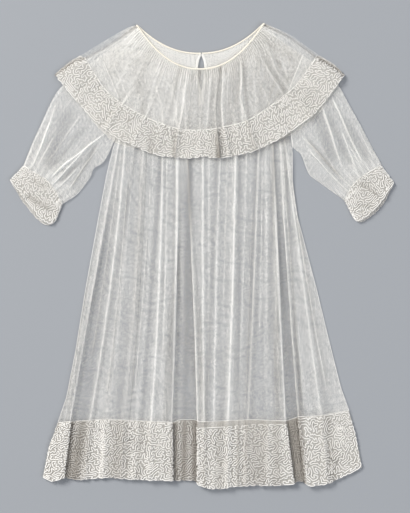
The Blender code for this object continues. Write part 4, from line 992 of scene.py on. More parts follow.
def frontBand(part, node, points, around, seed, finer, plainTop=((0.0, 0.0),)):
    # A band on top: its net lies just under the grid and its cord just over it
    normals = surfaceNormals(points)
    # Both the net and the cord get painted shade from the folds and hollows around them
    shadeOf = partial(recess, around=around)
    net = clothPiece(
        "band_" + part, points - bands["netBelow"] * normals, bandNetMaterial, shade=shadeOf(points),
    )
    cord = couchCord(
        "cord_" + part, points, normals, bands["cordAbove"], seed, finer, plainTop, shadeOf=shadeOf,
    )
    return place(net, node, "corded_net"), place(cord, node, "corded_net")


def backBand(part, node, points, lift, seed, finer=1.0):
    # A band of the back: it faces down, with its cord under the net
    net = clothPiece("band_" + part, points, bandNetMaterial, backFacing=True)
    cord = couchCord("cord_" + part, points, surfaceNormals(points), lift, seed, finer)
    return place(net, node, "corded_net"), place(cord, node, "corded_net")


# Hem bands

hemBand = {
    "plainTop": (
        (0.0, 0.5), (0.44, 1.0), (0.5, 8.0), (0.6, 7.0), (0.7, 5.0), (0.78, 4.0), (0.84, 1.0), (1.0, 0.5),
    ),
    "backZ": 1.35, "backCordZ": 0.65, "backLower": 0.8, "backShorter": 1.0, "backColumns": 240, "backRows": 8,
}
scallops = {"depth": 1.2, "length": 9.0, "unevenness": 0.137, "frontStart": 400.0, "backStart": 404.0}


def scallop(along):
    wave = np.sin(math.pi * along / scallops["length"]) ** 2
    return scallops["depth"] * wave * (0.65 + 0.35 * np.sin(along * scallops["unevenness"]))


def makeHemBandFront():
    downs = np.linspace(0.0, 1.0, skirt["bandRows"])
    xs, heights, _ = frontSection(mixed(gown["seamY"], gown["hemY"], downs))
    topY = readTable(seamDrops, "x", "y", xs) - gown["seamGap"] / 2.0
    hemY = readTable(hemDrops, "x", "y", xs) - scallops["depth"] + scallop(xs + scallops["frontStart"])
    plan = np.stack([xs, mixed(topY, hemY, downs[:, None])], axis=-1)
    return withHeight(plan, gown["frontAtHem"] + heights)


def backSeamY(x):
    # Straight, but nowhere above the front's seam, through whose net it would show
    first, last = seamDrops[0], seamDrops[-1]
    straight = mixed(first.y, last.y, (x - first.x) / (last.x - first.x))
    return np.minimum(straight, readTable(seamDrops, "x", "y", x) - hemBand["backLower"])


def makeHemBandBack():
    down = np.linspace(0.0, 1.0, hemBand["backRows"])[:, None]
    across = np.linspace(0.0, 1.0, hemBand["backColumns"])[None]
    y = mixed(gown["seamY"], gown["hemY"], down)
    xs = mixed(readTable(sides, "y", "left", y), readTable(sides, "y", "right", y), across)
    hemY = readTable(hemDrops, "x", "y", xs) + hemBand["backShorter"] + scallop(xs + scallops["backStart"])
    plan = np.stack([xs, mixed(backSeamY(xs) - gown["seamGap"] / 2.0, hemY, down)], axis=-1)
    return withHeight(plan, np.full(xs.shape, hemBand["backZ"]))


hemPoints = makeHemBandFront()
skirtAround = Around(
    [frontPoints[skirt["yokeRows"]:], hemPoints], skirtHollows, gown["underarmY"], gown["hemY"],
)
# The front's net gets painted shade in its recesses and listed hollows
bodyFront = clothPiece(
    "net_body_front", frontPoints, netMaterial, frontGather, recess(frontPoints, skirtAround),
)
place(bodyFront, "body_front", "net")
print("front of the skirt made", frontPoints.shape)
hemNet, hemCord = frontBand(
    "hem_front", "hem_band_front", hemPoints, skirtAround, 11, cords["finer"]["hem"], hemBand["plainTop"],
)
hemBackNet, hemBackCord = backBand(
    "hem_back", "hem_band_back", makeHemBandBack(), hemBand["backCordZ"] - hemBand["backZ"], 12,
)
print("hem bands made", len(hemCord.data.polygons), len(hemBackCord.data.polygons))


# Back of the body, slit down from the neck

back = {
    "halfColumns": 90, "yokeRows": 26, "skirtRows": 40, "netZ": 0.5, "slitTo": 0.68,
    "gathers": 2.1, "gatherHeight": 0.25, "gatherDepth": 60.0, "gatherDensity": 0.7,
}
Crease = namedtuple("Crease", "x0 y0 x1 y1 width rise")
backCreases = table(Crease, (
    (-92.0, 150.0, -128.0, -190.0, 3.0, 0.7), (-74.0, 120.0, -97.0, -170.0, 2.4, 0.6),
    (-58.0, 150.0, -66.0, -120.0, 2.6, 0.7), (-27.0, 140.0, -22.0, -200.0, 3.2, 0.7),
    (-8.0, 120.0, -14.0, -60.0, 2.2, 0.5), (16.0, 150.0, 24.0, -150.0, 2.6, 0.7),
    (36.0, 100.0, 47.0, -205.0, 3.0, 0.7), (62.0, 150.0, 78.0, -140.0, 2.4, 0.6),
    (83.0, 130.0, 112.0, -200.0, 3.0, 0.7), (100.0, 120.0, 140.0, -120.0, 2.6, 0.6),
))


def creaseLift(plan, creases):
    # Soft narrow ridges along straight lines, fading out at both ends. The sleeves and cuffs also use them as
    # strips of painted shade
    lift = np.zeros(plan.shape[:-1])
    for crease in creases:
        start = np.array([crease.x0, crease.y0])
        walk = np.array([crease.x1, crease.y1]) - start
        length = np.linalg.norm(walk)
        walk = walk / length
        offset = plan - start
        along = offset @ walk
        aside = offset[..., 0] * walk[1] - offset[..., 1] * walk[0]
        aside = aside + 0.8 * wander(along * 0.06, crease.x0)
        fade = smooth(along / (0.25 * length)) * smooth((length - along) / (0.25 * length))
        lift += crease.rise * np.exp(-(aside / crease.width) ** 2) * fade
    return lift


def halved(halfColumns, rows, slitTo):
    # Parts across and down a piece whose two halves meet at the slit, and the side of each column
    half = np.linspace(0.0, 0.5, halfColumns)
    downs = np.concatenate([
        np.linspace(0.0, slitTo, slit["rows"]), np.linspace(slitTo, 1.0, rows - slit["rows"] + 1)[1:],
    ])
    return np.concatenate([half, 1.0 - half[::-1]]), downs, np.repeat([-1.0, 1.0], halfColumns)


def openSlit(plan, side, beside):
    # Moves the two halves apart at the slit, less and less as far as its spread. The column and the rows
    # that it returns are left out of the grid, so that the slit is open
    middle = plan.shape[1] // 2
    plan[:, middle - 1:middle + 1, 0] = slit["x"]
    gap = slitHalfGap(plan[:, middle, 1][:, None]) + beside
    reach = np.where(np.arange(len(plan))[:, None] < slit["rows"], gap, slit["shut"])
    offset = np.maximum(0.0, side * (plan[..., 0] - slit["x"]))
    moved = reach + offset * (slit["spread"] - reach) / slit["spread"]
    plan[..., 0] = slit["x"] + side * np.where(offset < slit["spread"], moved, offset)
    return middle - 1, slit["rows"] - 1


def makeBodyBack():
    across, downs, side = halved(back["halfColumns"], back["yokeRows"], back["slitTo"])
    yoke = bodyYoke(neck["backDepth"])
    levels = np.linspace(0.0, 1.0, back["skirtRows"] + 1)[1:, None]
    levelY = mixed(gown["underarmY"], gown["seamY"], levels)
    xs = mixed(readTable(sides, "y", "left", levelY), readTable(sides, "y", "right", levelY), across[None])
    topY = yoke(across, np.ones_like(across))[:, 1][None]
    lower = np.stack([xs, mixed(topY, backSeamY(xs) + gown["seamGap"] / 2.0, levels)], axis=-1)
    plan = np.vstack([yoke(*np.meshgrid(across, downs)), lower])
    leftOut = openSlit(plan, side, slit["tape"] * slit["underTape"])
    down = (neck["pointY"] - plan[..., 1]) / back["gatherDepth"]
    gathers = np.sin(plan[..., 0] * back["gathers"] + 2.0 * wander(plan[..., 0] * 0.3, 2.0))
    gathers = np.maximum(back["gatherHeight"] * gathers * smooth(1.6 - down), -0.2)
    height = back["netZ"] + liftOverBackBertha(plan) + creaseLift(plan, backCreases) + gathers
    return withHeight(plan, height), back["gatherDensity"] * smooth(1.4 - down), leftOut


backPoints, backGather, backSlit = makeBodyBack()
# Painted shade on the back under the front's hollows, at half strength, so that they look darker through both
# layers
backShade = 0.5 * np.clip(hollowShade(backPoints, skirtAround), 0.0, 1.0)  # the front's hollows show through
bodyBack = clothPiece(
    "net_body_back", backPoints, netMaterial, backGather, backShade, turn=63.0, drawn=1.15, backFacing=True,
    leftOut=backSlit,
)
place(bodyBack, "body_back", "net")
print("back made", backPoints.shape)


# Bertha: a deep cape collar gathered into the neck, with a cord band round its edge

bertha = {
    "atNeck": 5.6, "overBody": 7.0, "bandOver": 0.4, "atShoulder": 2.0, "bandAtShoulder": 3.0,
    "shoulderRise": 8.0, "columns": 620, "rows": 34, "rowPower": 1.25, "fanEnd": 0.7, "liftEnd": 0.33,
    "edgeLength": 400.0, "netDepth": 125.0, "gathers": 84, "gatherHeight": 0.75, "gatherLength": 46.0,
    "wavy": 0.5, "topY": 240.0, "bottomY": 125.0, "lineDensity": 1.0, "closer": 0.08,
}
berthaBack = {
    "netZ": 0.5, "bandZ": 1.3, "cordZ": 0.65, "halfColumns": 110, "rows": 24, "slitTo": 0.72,
    "gathers": 78, "gatherHeight": 0.25, "gatherEnd": 0.45, "gatherDensity": 0.8, "wavy": 0.2,
}
BandGrid = namedtuple("BandGrid", "columns rows scallopPower")
berthaBands = {"front": BandGrid(620, 12, 2), "back": BandGrid(260, 6, 1)}

# Folds that fan out over the front; neck, edge and half are parts of each line's length
BerthaFold = namedtuple("BerthaFold", "neck edge half rise overlap")
berthaFolds = table(BerthaFold, (
    (0.06, 0.100, 0.014, 1.2, 0.0), (0.19, 0.215, 0.010, 1.6, 0.0), (0.25, 0.268, 0.006, 0.6, 0.0),
    (0.29, 0.305, 0.011, 1.8, 1.5), (0.37, 0.375, 0.012, 1.4, 0.0), (0.43, 0.428, 0.011, 2.4, 3.0),
    (0.455, 0.450, 0.006, 0.8, 0.0), (0.515, 0.500, 0.010, 1.0, 0.0), (0.60, 0.556, 0.013, 4.0, 6.0),
    (0.625, 0.584, 0.007, 2.0, 0.0), (0.69, 0.625, 0.008, 0.9, 0.0), (0.75, 0.665, 0.012, 3.0, 3.0),
    (0.79, 0.700, 0.007, 0.7, 0.0), (0.86, 0.765, 0.011, 1.8, 1.0), (0.92, 0.850, 0.013, 2.6, 2.5),
    (0.955, 0.925, 0.012, 1.2, 0.0),
))


def berthaNeckParts(edgeParts):
    edges = np.concatenate([[0.0], column(berthaFolds, "edge"), [1.0]])
    necks = np.concatenate([[0.0], column(berthaFolds, "neck"), [1.0]])
    return np.interp(edgeParts, edges, necks)


def berthaFoldShape(edgeParts):
    # Lift of the folds and the sideways move that laps the deep ones, in parts of the edge
    lift = np.zeros_like(edgeParts)
    shift = np.zeros_like(edgeParts)
    for fold in berthaFolds:
        aside = (edgeParts - fold.edge) / fold.half
        bell = np.exp(-aside ** 2 * 2.2)
        lift += fold.rise * bell
        shift -= fold.overlap / bertha["edgeLength"] * 1.6 * aside * bell
    return lift, shift


def insideShoulders(plan, left, right, down):
    toLeft = np.linalg.norm(plan - left(down), axis=-1)
    toRight = np.linalg.norm(plan - right(down), axis=-1)
    return smooth(np.minimum(toLeft, toRight) / bertha["shoulderRise"])


def berthaNetEdges(half):
    # Top, bottom, left and right edges of the net, each as a function of parts of its length
    line = netNeckline(neck[half + "Depth"])
    bottom = movedRight(curveThrough(berthaOutline[half + "BandTop"]), -gown["seamGap"])
    leftShoulder, rightShoulder = berthaOutline[half + "Shoulders"]
    left = curveThrough([line[0], *leftShoulder, bottom[0]])
    right = curveThrough([line[-1], *rightShoulder, bottom[-1]])
    return [edgeAlong(edge) for edge in (line, bottom, left, right)]


def makeBerthaFront():
    top, bottom, left, right = berthaNetEdges("front")
    edgeParts = np.linspace(0.0, 1.0, bertha["columns"])
    lift, shift = berthaFoldShape(edgeParts)
    edgeGrid, down = np.meshgrid(edgeParts, np.linspace(0.0, 1.0, bertha["rows"]) ** bertha["rowPower"])
    neckParts = berthaNeckParts(edgeGrid)
    across = mixed(neckParts, edgeGrid + shift * smooth(down * 1.3 - 0.2), smooth(down / bertha["fanEnd"]))
    plan = panelPoints(top, bottom, left, right, np.clip(across, 0.0, 1.0), down)
    reach = bertha["gatherLength"] * (0.75 + 0.45 * wander(edgeGrid * 160.0, 1.0))
    fade = np.clip(1.0 - down * bertha["netDepth"] / reach, 0.0, 1.0)
    wave = np.sin(neckParts * bertha["gathers"] * 2.0 * math.pi + 1.8 * wander(neckParts * 40.0, 7.0))
    lifted = smooth(down / bertha["liftEnd"])
    height = mixed(bertha["atNeck"], bertha["overBody"], lifted) + lift * mixed(0.3, 1.0, down) * lifted
    height += bertha["gatherHeight"] * wave * fade * (0.4 + 0.6 * smooth(down * 12.0))
    height += bertha["wavy"] * wander(edgeGrid * 75.0 + down * 2.0, 4.0) * smooth(down * 2.0)
    height = mixed(bertha["atShoulder"], height, insideShoulders(plan, left, right, down))
    gather = bertha["closer"] + 0.4 * fade ** 1.5 + 1.3 * np.maximum(0.0, wave) ** 2 * np.sqrt(fade)
    gather += bertha["lineDensity"] * striped(plan, berthaLines, bertha["topY"], bertha["bottomY"])
    return withHeight(plan, height), gather


def makeBerthaBack():
    across, downs, side = halved(berthaBack["halfColumns"], berthaBack["rows"], berthaBack["slitTo"])
    acrossGrid, down = np.meshgrid(across, downs)
    plan = panelPoints(*berthaNetEdges("back"), acrossGrid, down)
    leftOut = openSlit(plan, side, slit["shut"])
    fade = smooth(1.0 - down / berthaBack["gatherEnd"])
    wave = np.sin(acrossGrid * berthaBack["gathers"] * 2.0 * math.pi + 1.8 * wander(acrossGrid * 40.0, 9.0))
    height = berthaBack["netZ"] + berthaBack["gatherHeight"] * wave * fade
    height += berthaBack["wavy"] * wander(acrossGrid * 60.0, 6.0) * smooth(down * 3.0)
    return withHeight(plan, height), berthaBack["gatherDensity"] * fade, leftOut


def makeBerthaBand(half):
    grid = berthaBands[half]
    top, hem = [curveThrough(berthaOutline[half + name]) for name in ("BandTop", "BandHem")]
    leftTip, rightTip = berthaOutline[half + "Tips"]
    left = edgeAlong(curveThrough([top[0], leftTip, hem[0]]))
    right = edgeAlong(curveThrough([top[-1], rightTip, hem[-1]]))
    length = runOf(hem)[-1]
    top, hem = edgeAlong(top), edgeAlong(hem)
    edgeGrid, down = np.meshgrid(np.linspace(0.0, 1.0, grid.columns), np.linspace(0.0, 1.0, grid.rows))
    lift, shift = berthaFoldShape(edgeGrid) if half == "front" else (0.0, 0.0)
    across = np.clip(edgeGrid + shift, 0.0, 1.0)
    inward = top(across) - hem(across)
    inward /= np.linalg.norm(inward, axis=-1)[..., None]
    plan = panelPoints(top, hem, left, right, across, down)
    plan = plan + inward * (scallop(length * edgeGrid) * down ** grid.scallopPower)[..., None]
    if half == "back":
        return withHeight(plan, np.full(down.shape, berthaBack["bandZ"]))
    height = bertha["overBody"] + bertha["bandOver"] + lift
    height += bertha["wavy"] * wander(edgeGrid * 75.0 + 2.0, 4.0)
    height = mixed(bertha["bandAtShoulder"], height, insideShoulders(plan, left, right, down))
    return withHeight(plan, height)


berthaPoints, berthaGather = makeBerthaFront()
berthaBandPoints = makeBerthaBand("front")
berthaAround = Around([berthaPoints, berthaBandPoints], berthaHollows, bertha["topY"], bertha["bottomY"])
# The bertha's net gets painted shade in its recesses and listed hollows
berthaNet = clothPiece(
    "net_bertha_front", berthaPoints, netMaterial, berthaGather, recess(berthaPoints, berthaAround),
    turn=-13.0,
)
place(berthaNet, "bertha_front", "net")
berthaBand, berthaCord = frontBand(
    "bertha_front", "bertha_band_front", berthaBandPoints, berthaAround, 13, cords["finer"]["bertha"],
)
berthaBackPoints, berthaBackGather, berthaSlit = makeBerthaBack()
berthaBackNet = clothPiece(
    "net_bertha_back", berthaBackPoints, netMaterial, berthaBackGather, turn=27.0, backFacing=True,
    leftOut=berthaSlit,
)
place(berthaBackNet, "bertha_back", "net")
berthaBackBand, berthaBackCord = backBand(
    "bertha_back", "bertha_band_back", makeBerthaBand("back"), berthaBack["cordZ"] - berthaBack["bandZ"], 14,
    cords["finer"]["bertha"],
)
print("bertha made")


# Sleeves and cuffs: flattened tubes, the sleeve gathered a little into its cuff

sleeve = {
    "edge": 2.8, "underBertha": 3.8, "free": 7.0, "cuffEdge": 4.2, "cuffTop": 6.6, "crown": 0.7, "rim": 5.0,
    "freeFrom": 0.3, "cuffHeightFrom": 0.8, "cuffEdgeFrom": 0.7, "gatherFrom": 0.72, "gatherOver": 0.25,
    "lip": 4.5, "seamRoom": 0.5, "wall": 0.5, "cuffNet": 1.25, "cuffCord": 0.66,
    "topPoints": 190, "bottomPoints": 36, "rows": 100, "cuffRows": 14, "gathers": 9.0, "gatherHeight": 0.6,
    "creaseHeight": 1.5, "creaseDensity": 0.75, "cuffLumps": 0.8, "cuffBulge": 0.9,
}
sleeveLines = {
    "left": {
        "outer": (
            (-131.0, 260.0), (-156.0, 241.0), (-181.0, 221.0), (-194.3, 202.7), (-207.9, 173.7),
            (-219.8, 148.2), (-227.8, 128.3), (-232.0, 117.4),
        ),
        "inner": (
            (-112.8, 148.5), (-126.4, 122.5), (-140.1, 112.7), (-144.0, 103.0), (-151.8, 91.3),
            (-160.9, 80.1), (-171.3, 72.2), (-180.8, 66.5),
        ),
        "seam": ((-232.0, 117.4), (-213.0, 105.0), (-196.5, 93.0), (-180.8, 66.5)),
        "edge": (
            (-250.0, 98.5), (-240.5, 81.0), (-229.0, 64.5), (-213.5, 45.5), (-199.5, 39.5), (-189.0, 45.5),
        ),
    },
    "right": {
        "outer": (
            (130.5, 260.0), (155.0, 242.0), (176.7, 221.3), (191.2, 195.8), (208.2, 165.4),
            (223.4, 136.4), (230.4, 124.4), (233.4, 117.5),
        ),
        "inner": (
            (117.3, 140.0), (123.8, 134.5), (129.0, 129.5), (138.4, 105.7), (150.2, 95.9),
            (166.5, 84.1), (175.8, 77.6), (184.7, 70.7),
        ),
        "seam": ((233.4, 117.5), (215.0, 107.5), (196.0, 92.0), (184.7, 70.7)),
        "edge": (
            (250.0, 95.0), (244.5, 82.5), (233.0, 63.0), (218.5, 48.5), (204.0, 43.0), (196.0, 49.0),
        ),
    },
}
sleeveCreases = {
    "left": table(Crease, (
        (-118.0, 165.0, -200.0, 98.0, 1.3, 1.9), (-137.0, 153.0, -196.0, 88.0, 1.2, 1.5),
        (-194.0, 178.0, -221.0, 110.0, 1.3, 1.5), (-129.0, 150.0, -178.0, 76.0, 1.3, 1.6),
        (-186.0, 205.0, -214.0, 128.0, 1.4, 1.2), (-150.0, 190.0, -206.0, 112.0, 1.5, 0.9),
        (-168.0, 128.0, -197.0, 98.0, 1.1, 1.2), (-158.0, 118.0, -188.0, 84.0, 1.1, 1.1),
        (-190.0, 158.0, -212.0, 116.0, 1.1, 1.1),
    )),
    "right": table(Crease, (
        (152.0, 204.0, 184.0, 108.0, 1.4, 1.9), (122.0, 162.0, 190.0, 92.0, 1.3, 1.7),
        (163.0, 216.0, 214.0, 108.0, 1.3, 1.8), (178.0, 168.0, 204.0, 102.0, 1.2, 1.2),
        (131.0, 146.0, 187.0, 84.0, 1.2, 1.4), (196.0, 176.0, 226.0, 120.0, 1.2, 1.2),
        (150.0, 150.0, 176.0, 104.0, 1.2, 0.9), (188.0, 150.0, 210.0, 108.0, 1.1, 1.1),
    )),
}
# Painted shade on the flat stretches between those creases
sleevePaintedShade = {
    "left": table(Crease, (
        (-168.0, 196.0, -204.0, 104.0, 8.0, 0.8), (-142.0, 176.0, -200.0, 108.0, 3.5, 0.5),
        (-134.0, 146.0, -172.0, 84.0, 3.0, 0.7), (-152.0, 128.0, -190.0, 90.0, 2.2, 0.5),
    )),
    "right": table(Crease, (
        (143.0, 196.0, 172.0, 112.0, 7.0, 0.8), (184.0, 182.0, 220.0, 114.0, 4.5, 0.6),
        (130.0, 158.0, 184.0, 94.0, 2.6, 0.7), (160.0, 196.0, 196.0, 106.0, 3.0, 0.5),
    )),
}
cuffPaintedShade = {
    "left": table(Crease, (
        (-232.0, 80.0, -192.0, 56.0, 3.2, 0.5), (-226.0, 104.0, -200.0, 84.0, 2.5, 0.25),
    )),
    "right": table(Crease, (
        (200.0, 96.0, 232.0, 76.0, 2.4, 0.4), (196.0, 66.0, 224.0, 62.0, 2.6, 0.3),
    )),
}


def ringParts(side):
    # Part across the flattened tube for each point round it, whether the point is on top, and the rim
    top = np.linspace(0.0, 1.0, sleeve["topPoints"] + 1)
    under = np.linspace(0.0, 1.0, sleeve["bottomPoints"] + 1)[1:]
    across = np.concatenate([(1.0 - np.cos(math.pi * top)) / 2.0, (1.0 + np.cos(math.pi * under)) / 2.0])
    onTop = np.concatenate([np.ones(len(top), bool), np.zeros(len(under), bool)])
    rim = np.zeros(len(across), bool)
    rim[[0, sleeve["topPoints"], len(across) - 1]] = True
    step = -1 if side == "right" else 1
    return across[::step], onTop[::step], rim[::step]


def tubeHeight(across, onTop, rim, edge, top):
    crown = np.clip(4.0 * across * (1.0 - across), 0.0, 1.0) ** sleeve["crown"]
    nearRim = np.clip(crown * sleeve["rim"], 0.0, 1.0)
    under = edge * 0.5 * np.clip(1.0 - crown * sleeve["rim"], 0.0, 1.0)
    height = np.where(onTop, mixed(edge * 0.5, mixed(edge, top, crown), nearRim), under)
    return np.where(rim, edge * 0.5, height), crown


def awayFromBody(side):
    return -gown["armholeGap"] if side == "left" else gown["armholeGap"]


def armholeSeam(side):
    xs = column(armholes, side + "X") + awayFromBody(side)
    ys = column(armholes, side + "Y")
    halfway = np.array([0.0, 0.5, 1.0])
    return lambda across: np.stack([np.interp(across, halfway, xs), np.interp(across, halfway, ys)], axis=-1)


def makeSleeve(side):
    lines = sleeveLines[side]
    edges = []
    for name in ("outer", "inner"):
        (firstX, firstY), *others = lines[name]
        edges.append(edgeAlong(curveThrough([(firstX + awayFromBody(side), firstY), *others])))
    ring, onTop, rim = ringParts(side)
    across, down = np.meshgrid(ring, np.linspace(0.0, 1.0, sleeve["rows"]))
    plan = panelPoints(armholeSeam(side), edgeAlong(curveThrough(lines["seam"])), *edges, across, down)
    free = smooth((down - sleeve["freeFrom"]) / sleeve["freeFrom"])
    top = mixed(sleeve["underBertha"], sleeve["free"], free)
    nearEnd = smooth((down - sleeve["cuffHeightFrom"]) / (1.0 - sleeve["cuffHeightFrom"]))
    top = mixed(top, sleeve["cuffTop"], nearEnd)
    nearCuff = smooth((down - sleeve["cuffEdgeFrom"]) / (1.0 - sleeve["cuffEdgeFrom"]))
    height, crown = tubeHeight(across, onTop, rim, mixed(sleeve["edge"], sleeve["cuffEdge"], nearCuff), top)
    gathered = smooth((down - sleeve["gatherFrom"]) / sleeve["gatherOver"])
    wave = np.sin(across * sleeve["gathers"] * 2.0 * math.pi + 1.5 * wander(across * 8.0, 3.0))
    creased = creaseLift(plan, sleeveCreases[side])
    ripples = sleeve["creaseHeight"] * creased + sleeve["gatherHeight"] * wave * gathered
    points = withHeight(plan, height + onTop * crown * ripples + liftOverBackBertha(plan))
    points = points - sleeve["wall"] * tubeNormals(points)
    gather = 0.25 * gathered + 0.4 * (wave > 0.3) * gathered + sleeve["creaseDensity"] * creased ** 2
    # The third value is painted shade on the top of the sleeve, along its listed strips
    return points, gather * onTop, creaseLift(plan, sleevePaintedShade[side]) * onTop


def tubeNormals(points):
    # Outward normals of a closed tube whose first and last columns are the same
    ringGrid = points[:, :-1]
    acrossStep = np.roll(ringGrid, -1, axis=1) - np.roll(ringGrid, 1, axis=1)
    downStep = np.gradient(ringGrid, axis=0)
    normal = np.cross(downStep, acrossStep)
    normal /= np.maximum(np.linalg.norm(normal, axis=2), 1e-9)[..., None]
    return np.concatenate([normal, normal[:, :1]], axis=1)


def makeCuff(side):
    lines = sleeveLines[side]
    seam, edge = curveThrough(lines["seam"]), curveThrough(lines["edge"])
    axis = atParts(edge, 0.5) - atParts(seam, 0.5)
    axis /= np.linalg.norm(axis)
    ring, onTop, rim = ringParts(side)
    across, down = np.meshgrid(ring, np.linspace(0.0, 1.0, sleeve["cuffRows"]))
    arch = 4.0 * across * (1.0 - across)
    along = sleeve["seamRoom"] * (1.0 - down) - sleeve["lip"] * arch * down * onTop
    along = along - scallop(runOf(seam)[-1] * across * 1.3) * arch * down
    along = along + sleeve["cuffBulge"] * wander(across * 11.0, 6.0) * arch * down ** 2
    plan = mixed(atParts(seam, across), atParts(edge, across), down[..., None]) + axis * along[..., None]
    height, crown = tubeHeight(across, onTop, rim, sleeve["cuffEdge"], sleeve["cuffTop"])
    lumps = wander(across * 17.0 + down * 6.0, 2.0) * wander(down * 5.0 + across * 8.0, 4.0)
    return withHeight(plan, height + sleeve["cuffLumps"] * lumps * onTop * crown)


# Painted shade on the top of each cuff, along its listed strips
def cuffShadeAt(side, points):
    return np.clip(creaseLift(points[..., :2], cuffPaintedShade[side]) * smooth(points[..., 2] - 1.0), 0.0, 1.0)


sleeveGrids = {}
for number, side in enumerate(("left", "right")):
    sleevePoints, sleeveGather, sleeveShade = makeSleeve(side)
    net = clothPiece(
        "net_sleeve_" + side, sleevePoints, netMaterial, sleeveGather, sleeveShade, turn=9.0, tube=True,
    )
    place(net, "sleeve_" + side, "net")
    cuffPoints = makeCuff(side)
    cuffNormals = tubeNormals(cuffPoints)
    cuffShade = partial(cuffShadeAt, side)
    band = clothPiece(
        "band_cuff_" + side, cuffPoints - sleeve["cuffNet"] * cuffNormals, bandNetMaterial,
        shade=cuffShade(cuffPoints), tube=True,
    )
    finer = cords["finer"]["cuff"]
    cord = couchCord(
        "cord_cuff_" + side, cuffPoints, cuffNormals, -sleeve["cuffCord"], 20 + number, finer,
        widthAt=1.0 / 3.0, lowest=cords["radius"] * finer + cords["floorRoom"], shadeOf=cuffShade,
    )
    for piece in (band, cord):
        place(piece, "cuff_" + side, "corded_net")
    sleeveGrids[side] = sleevePoints
print("sleeves and cuffs made")


# Neck binding, closed at the back where the slit starts, and the tapes of the slit

binding = {
    "from": 0.015, "to": 0.985, "endGap": 1.4, "backSteps": 150, "frontSteps": 330, "turnSteps": 10,
    "sides": 3, "pucker": 0.14, "puckerLength": 2.8,
}


def makeBinding():
    backLine = neckline(neck["backDepth"], 0.0)
    frontLine = neckline(neck["frontDepth"], 0.0)
    length = runOf(backLine)[-1]
    slitPart = 0.5 + (slit["x"] - neck["centreX"]) / length
    gapPart = binding["endGap"] / 2.0 / length
    first, last = binding["from"], binding["to"]

    def level(line, start, end, steps, z):
        spots = atParts(line, np.linspace(start, end, steps))
        return withHeight(spots, np.full(steps, z))

    def turn(at, upwards):
        # Half a turn from one neckline's end to the other's
        angle = np.linspace(0.0, math.pi, binding["turnSteps"] + 1)[1:-1]
        angle = angle if upwards else angle[::-1]
        part = (1.0 - np.cos(angle)) / 2.0
        spots = mixed(atParts(backLine, at), atParts(frontLine, at), part[:, None])
        outward = spots - np.array([neck["centreX"], neck["pointY"] - neck["frontDepth"]])
        outward /= np.linalg.norm(outward, axis=1)[:, None]
        spots = spots + outward * (np.sin(angle) * (neck["frontZ"] - neck["backZ"]) / 2.0)[:, None]
        return withHeight(spots, mixed(neck["backZ"], neck["frontZ"], part))

    return np.vstack([
        level(backLine, slitPart + gapPart, last, binding["backSteps"], neck["backZ"]),
        turn(last, True),
        level(frontLine, last, first, binding["frontSteps"], neck["frontZ"]),
        turn(first, False),
        level(backLine, first, slitPart - gapPart, binding["backSteps"], neck["backZ"]),
    ])


def makeTape(side):
    downs = np.linspace(0.0, back["slitTo"], slit["tapeRows"])
    centreY = bodyYoke(neck["backDepth"])(np.full_like(downs, 0.5), downs)[:, 1]
    gap = slitHalfGap(centreY)
    across = np.linspace(0.0, 1.0, slit["tapeColumns"])[None]
    inner = slit["x"] + side * (gap + slit["shut"])
    outer = slit["x"] + side * (gap + slit["tape"])
    xs = mixed(inner[:, None], outer[:, None], across if side > 0 else 1.0 - across)
    plan = np.stack([xs, np.repeat(centreY[:, None], slit["tapeColumns"], axis=1)], axis=-1)
    arch = slit["tapeArch"] * (1.0 - (2.0 * across - 1.0) ** 4)
    return withHeight(plan, gown["backOverBertha"] + slit["tapeZ"] + np.broadcast_to(arch, xs.shape))


bindingLine = makeBinding()
puckers = runOf(bindingLine) * 2.0 * math.pi / binding["puckerLength"]
puckers = 1.0 + binding["pucker"] * np.sin(puckers + 2.0 * wander(puckers * 0.2, 3.0))
neckBinding = roundLine(
    "bias_neck_binding", bindingLine, neck["roll"], bindingMaterial, sides=binding["sides"], swell=puckers,
)
place(neckBinding, "neck_binding", "binding")
for name, side in (("left", -1.0), ("right", 1.0)):
    tape = clothPiece("tape_placket_" + name, makeTape(side), tapeMaterial)
    place(tape, "placket_tape_" + name, "tape")
print("neck made")


# Rolled seams where the pieces are sewn together

seams = {"hem": 0.28, "bertha": 0.28, "side": 0.25, "armhole": 0.45, "cuff": 0.3, "lift": 0.2}


def sewSeam(name, line, radius):
    seam = roundLine(name, line + np.array([0.0, 0.0, seams["lift"]]), radius, seamMaterial)
    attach(seam, "root")
    return seam


frontSeams = [
    sewSeam("seam_hem_front", frontPoints[-1], seams["hem"]),
    sewSeam("seam_side_left", frontPoints[skirt["yokeRows"]:, 0], seams["side"]),
    sewSeam("seam_side_right", frontPoints[skirt["yokeRows"]:, -1], seams["side"]),
]
berthaSeam = sewSeam("seam_bertha_front", berthaPoints[-1], seams["bertha"])
for side, points in sleeveGrids.items():
    top = slice(0, sleeve["topPoints"] + 1) if side == "left" else slice(-sleeve["topPoints"] - 1, None)
    armSeam = sewSeam("seam_armhole_" + side, points[0, top], seams["armhole"])
    cuffSeam = sewSeam("seam_cuff_" + side, points[-1, top], seams["cuff"])
print("seams sewn")


# Floor that the gown lies on

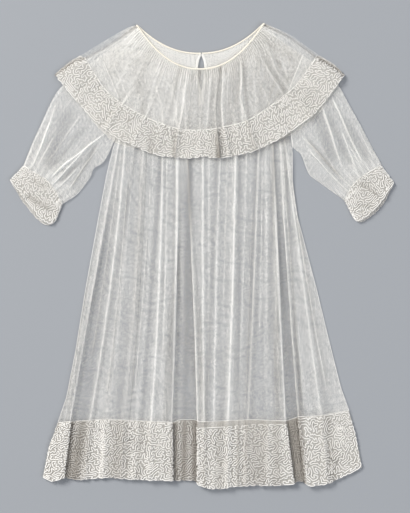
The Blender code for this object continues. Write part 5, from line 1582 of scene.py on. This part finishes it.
stage = {
    "floorHex": "93969a", "floorSize": 4.0, "floorZ": -0.0003,
    "frameHeight": 0.667, "aimX": 0.0039, "aimY": -0.0015 + gownShift * mm, "cameraHeight": 2.6,
    "roomColour": (0.9, 0.93, 1.0, 1.0), "roomStrength": 0.45,
}


def makeFloor():
    material, shader, _ = newMaterial("matt_pale_floor", 0.9, 0.0)
    shader.inputs["Base Color"].default_value = toLinear(stage["floorHex"])
    sheet = bmesh.new()
    bmesh.ops.create_grid(sheet, x_segments=1, y_segments=1, size=stage["floorSize"] / 2.0)
    bmesh.ops.translate(sheet, verts=sheet.verts, vec=(0.0, 0.0, stage["floorZ"]))
    mesh = bpy.data.meshes.new("floor")
    sheet.to_mesh(mesh)
    sheet.free()
    floor = linked("floor", mesh, material)


makeFloor()


# Light and camera: the photograph looks straight down on the gown

def addLight(name, spot, size, power, colour):
    light = bpy.data.lights.new(name, "AREA")
    light.shape = "SQUARE"
    light.size = size
    light.energy = power
    light.color = colour
    lamp = bpy.data.objects.new(name, light)
    lamp.location = spot
    lamp.rotation_mode = "QUATERNION"
    lamp.rotation_quaternion = (-Vector(spot)).to_track_quat("-Z", "Y")
    bpy.context.scene.collection.objects.link(lamp)


def makeCamera():
    lens = bpy.data.cameras.new("camera")
    lens.sensor_width = 36.0
    lens.lens = lens.sensor_width * stage["cameraHeight"] / stage["frameHeight"]
    lens.clip_end = 20.0
    camera = bpy.data.objects.new("camera", lens)
    camera.location = (stage["aimX"], stage["aimY"], stage["cameraHeight"])
    bpy.context.scene.collection.objects.link(camera)
    bpy.context.scene.camera = camera


addLight("key", (-2.9, 2.4, 3.5), 2.0, 290.0, (1.0, 0.98, 0.95))
addLight("fill", (2.6, -1.6, 3.2), 2.6, 80.0, (0.95, 0.97, 1.0))
world = bpy.data.worlds.new("soft_room_light")
bpy.context.scene.world = world
world.use_nodes = True
background = world.node_tree.nodes["Background"]
background.inputs["Color"].default_value = stage["roomColour"]
background.inputs["Strength"].default_value = stage["roomStrength"]
makeCamera()
bpy.context.scene.view_settings.view_transform = "Standard"
print("stage made")
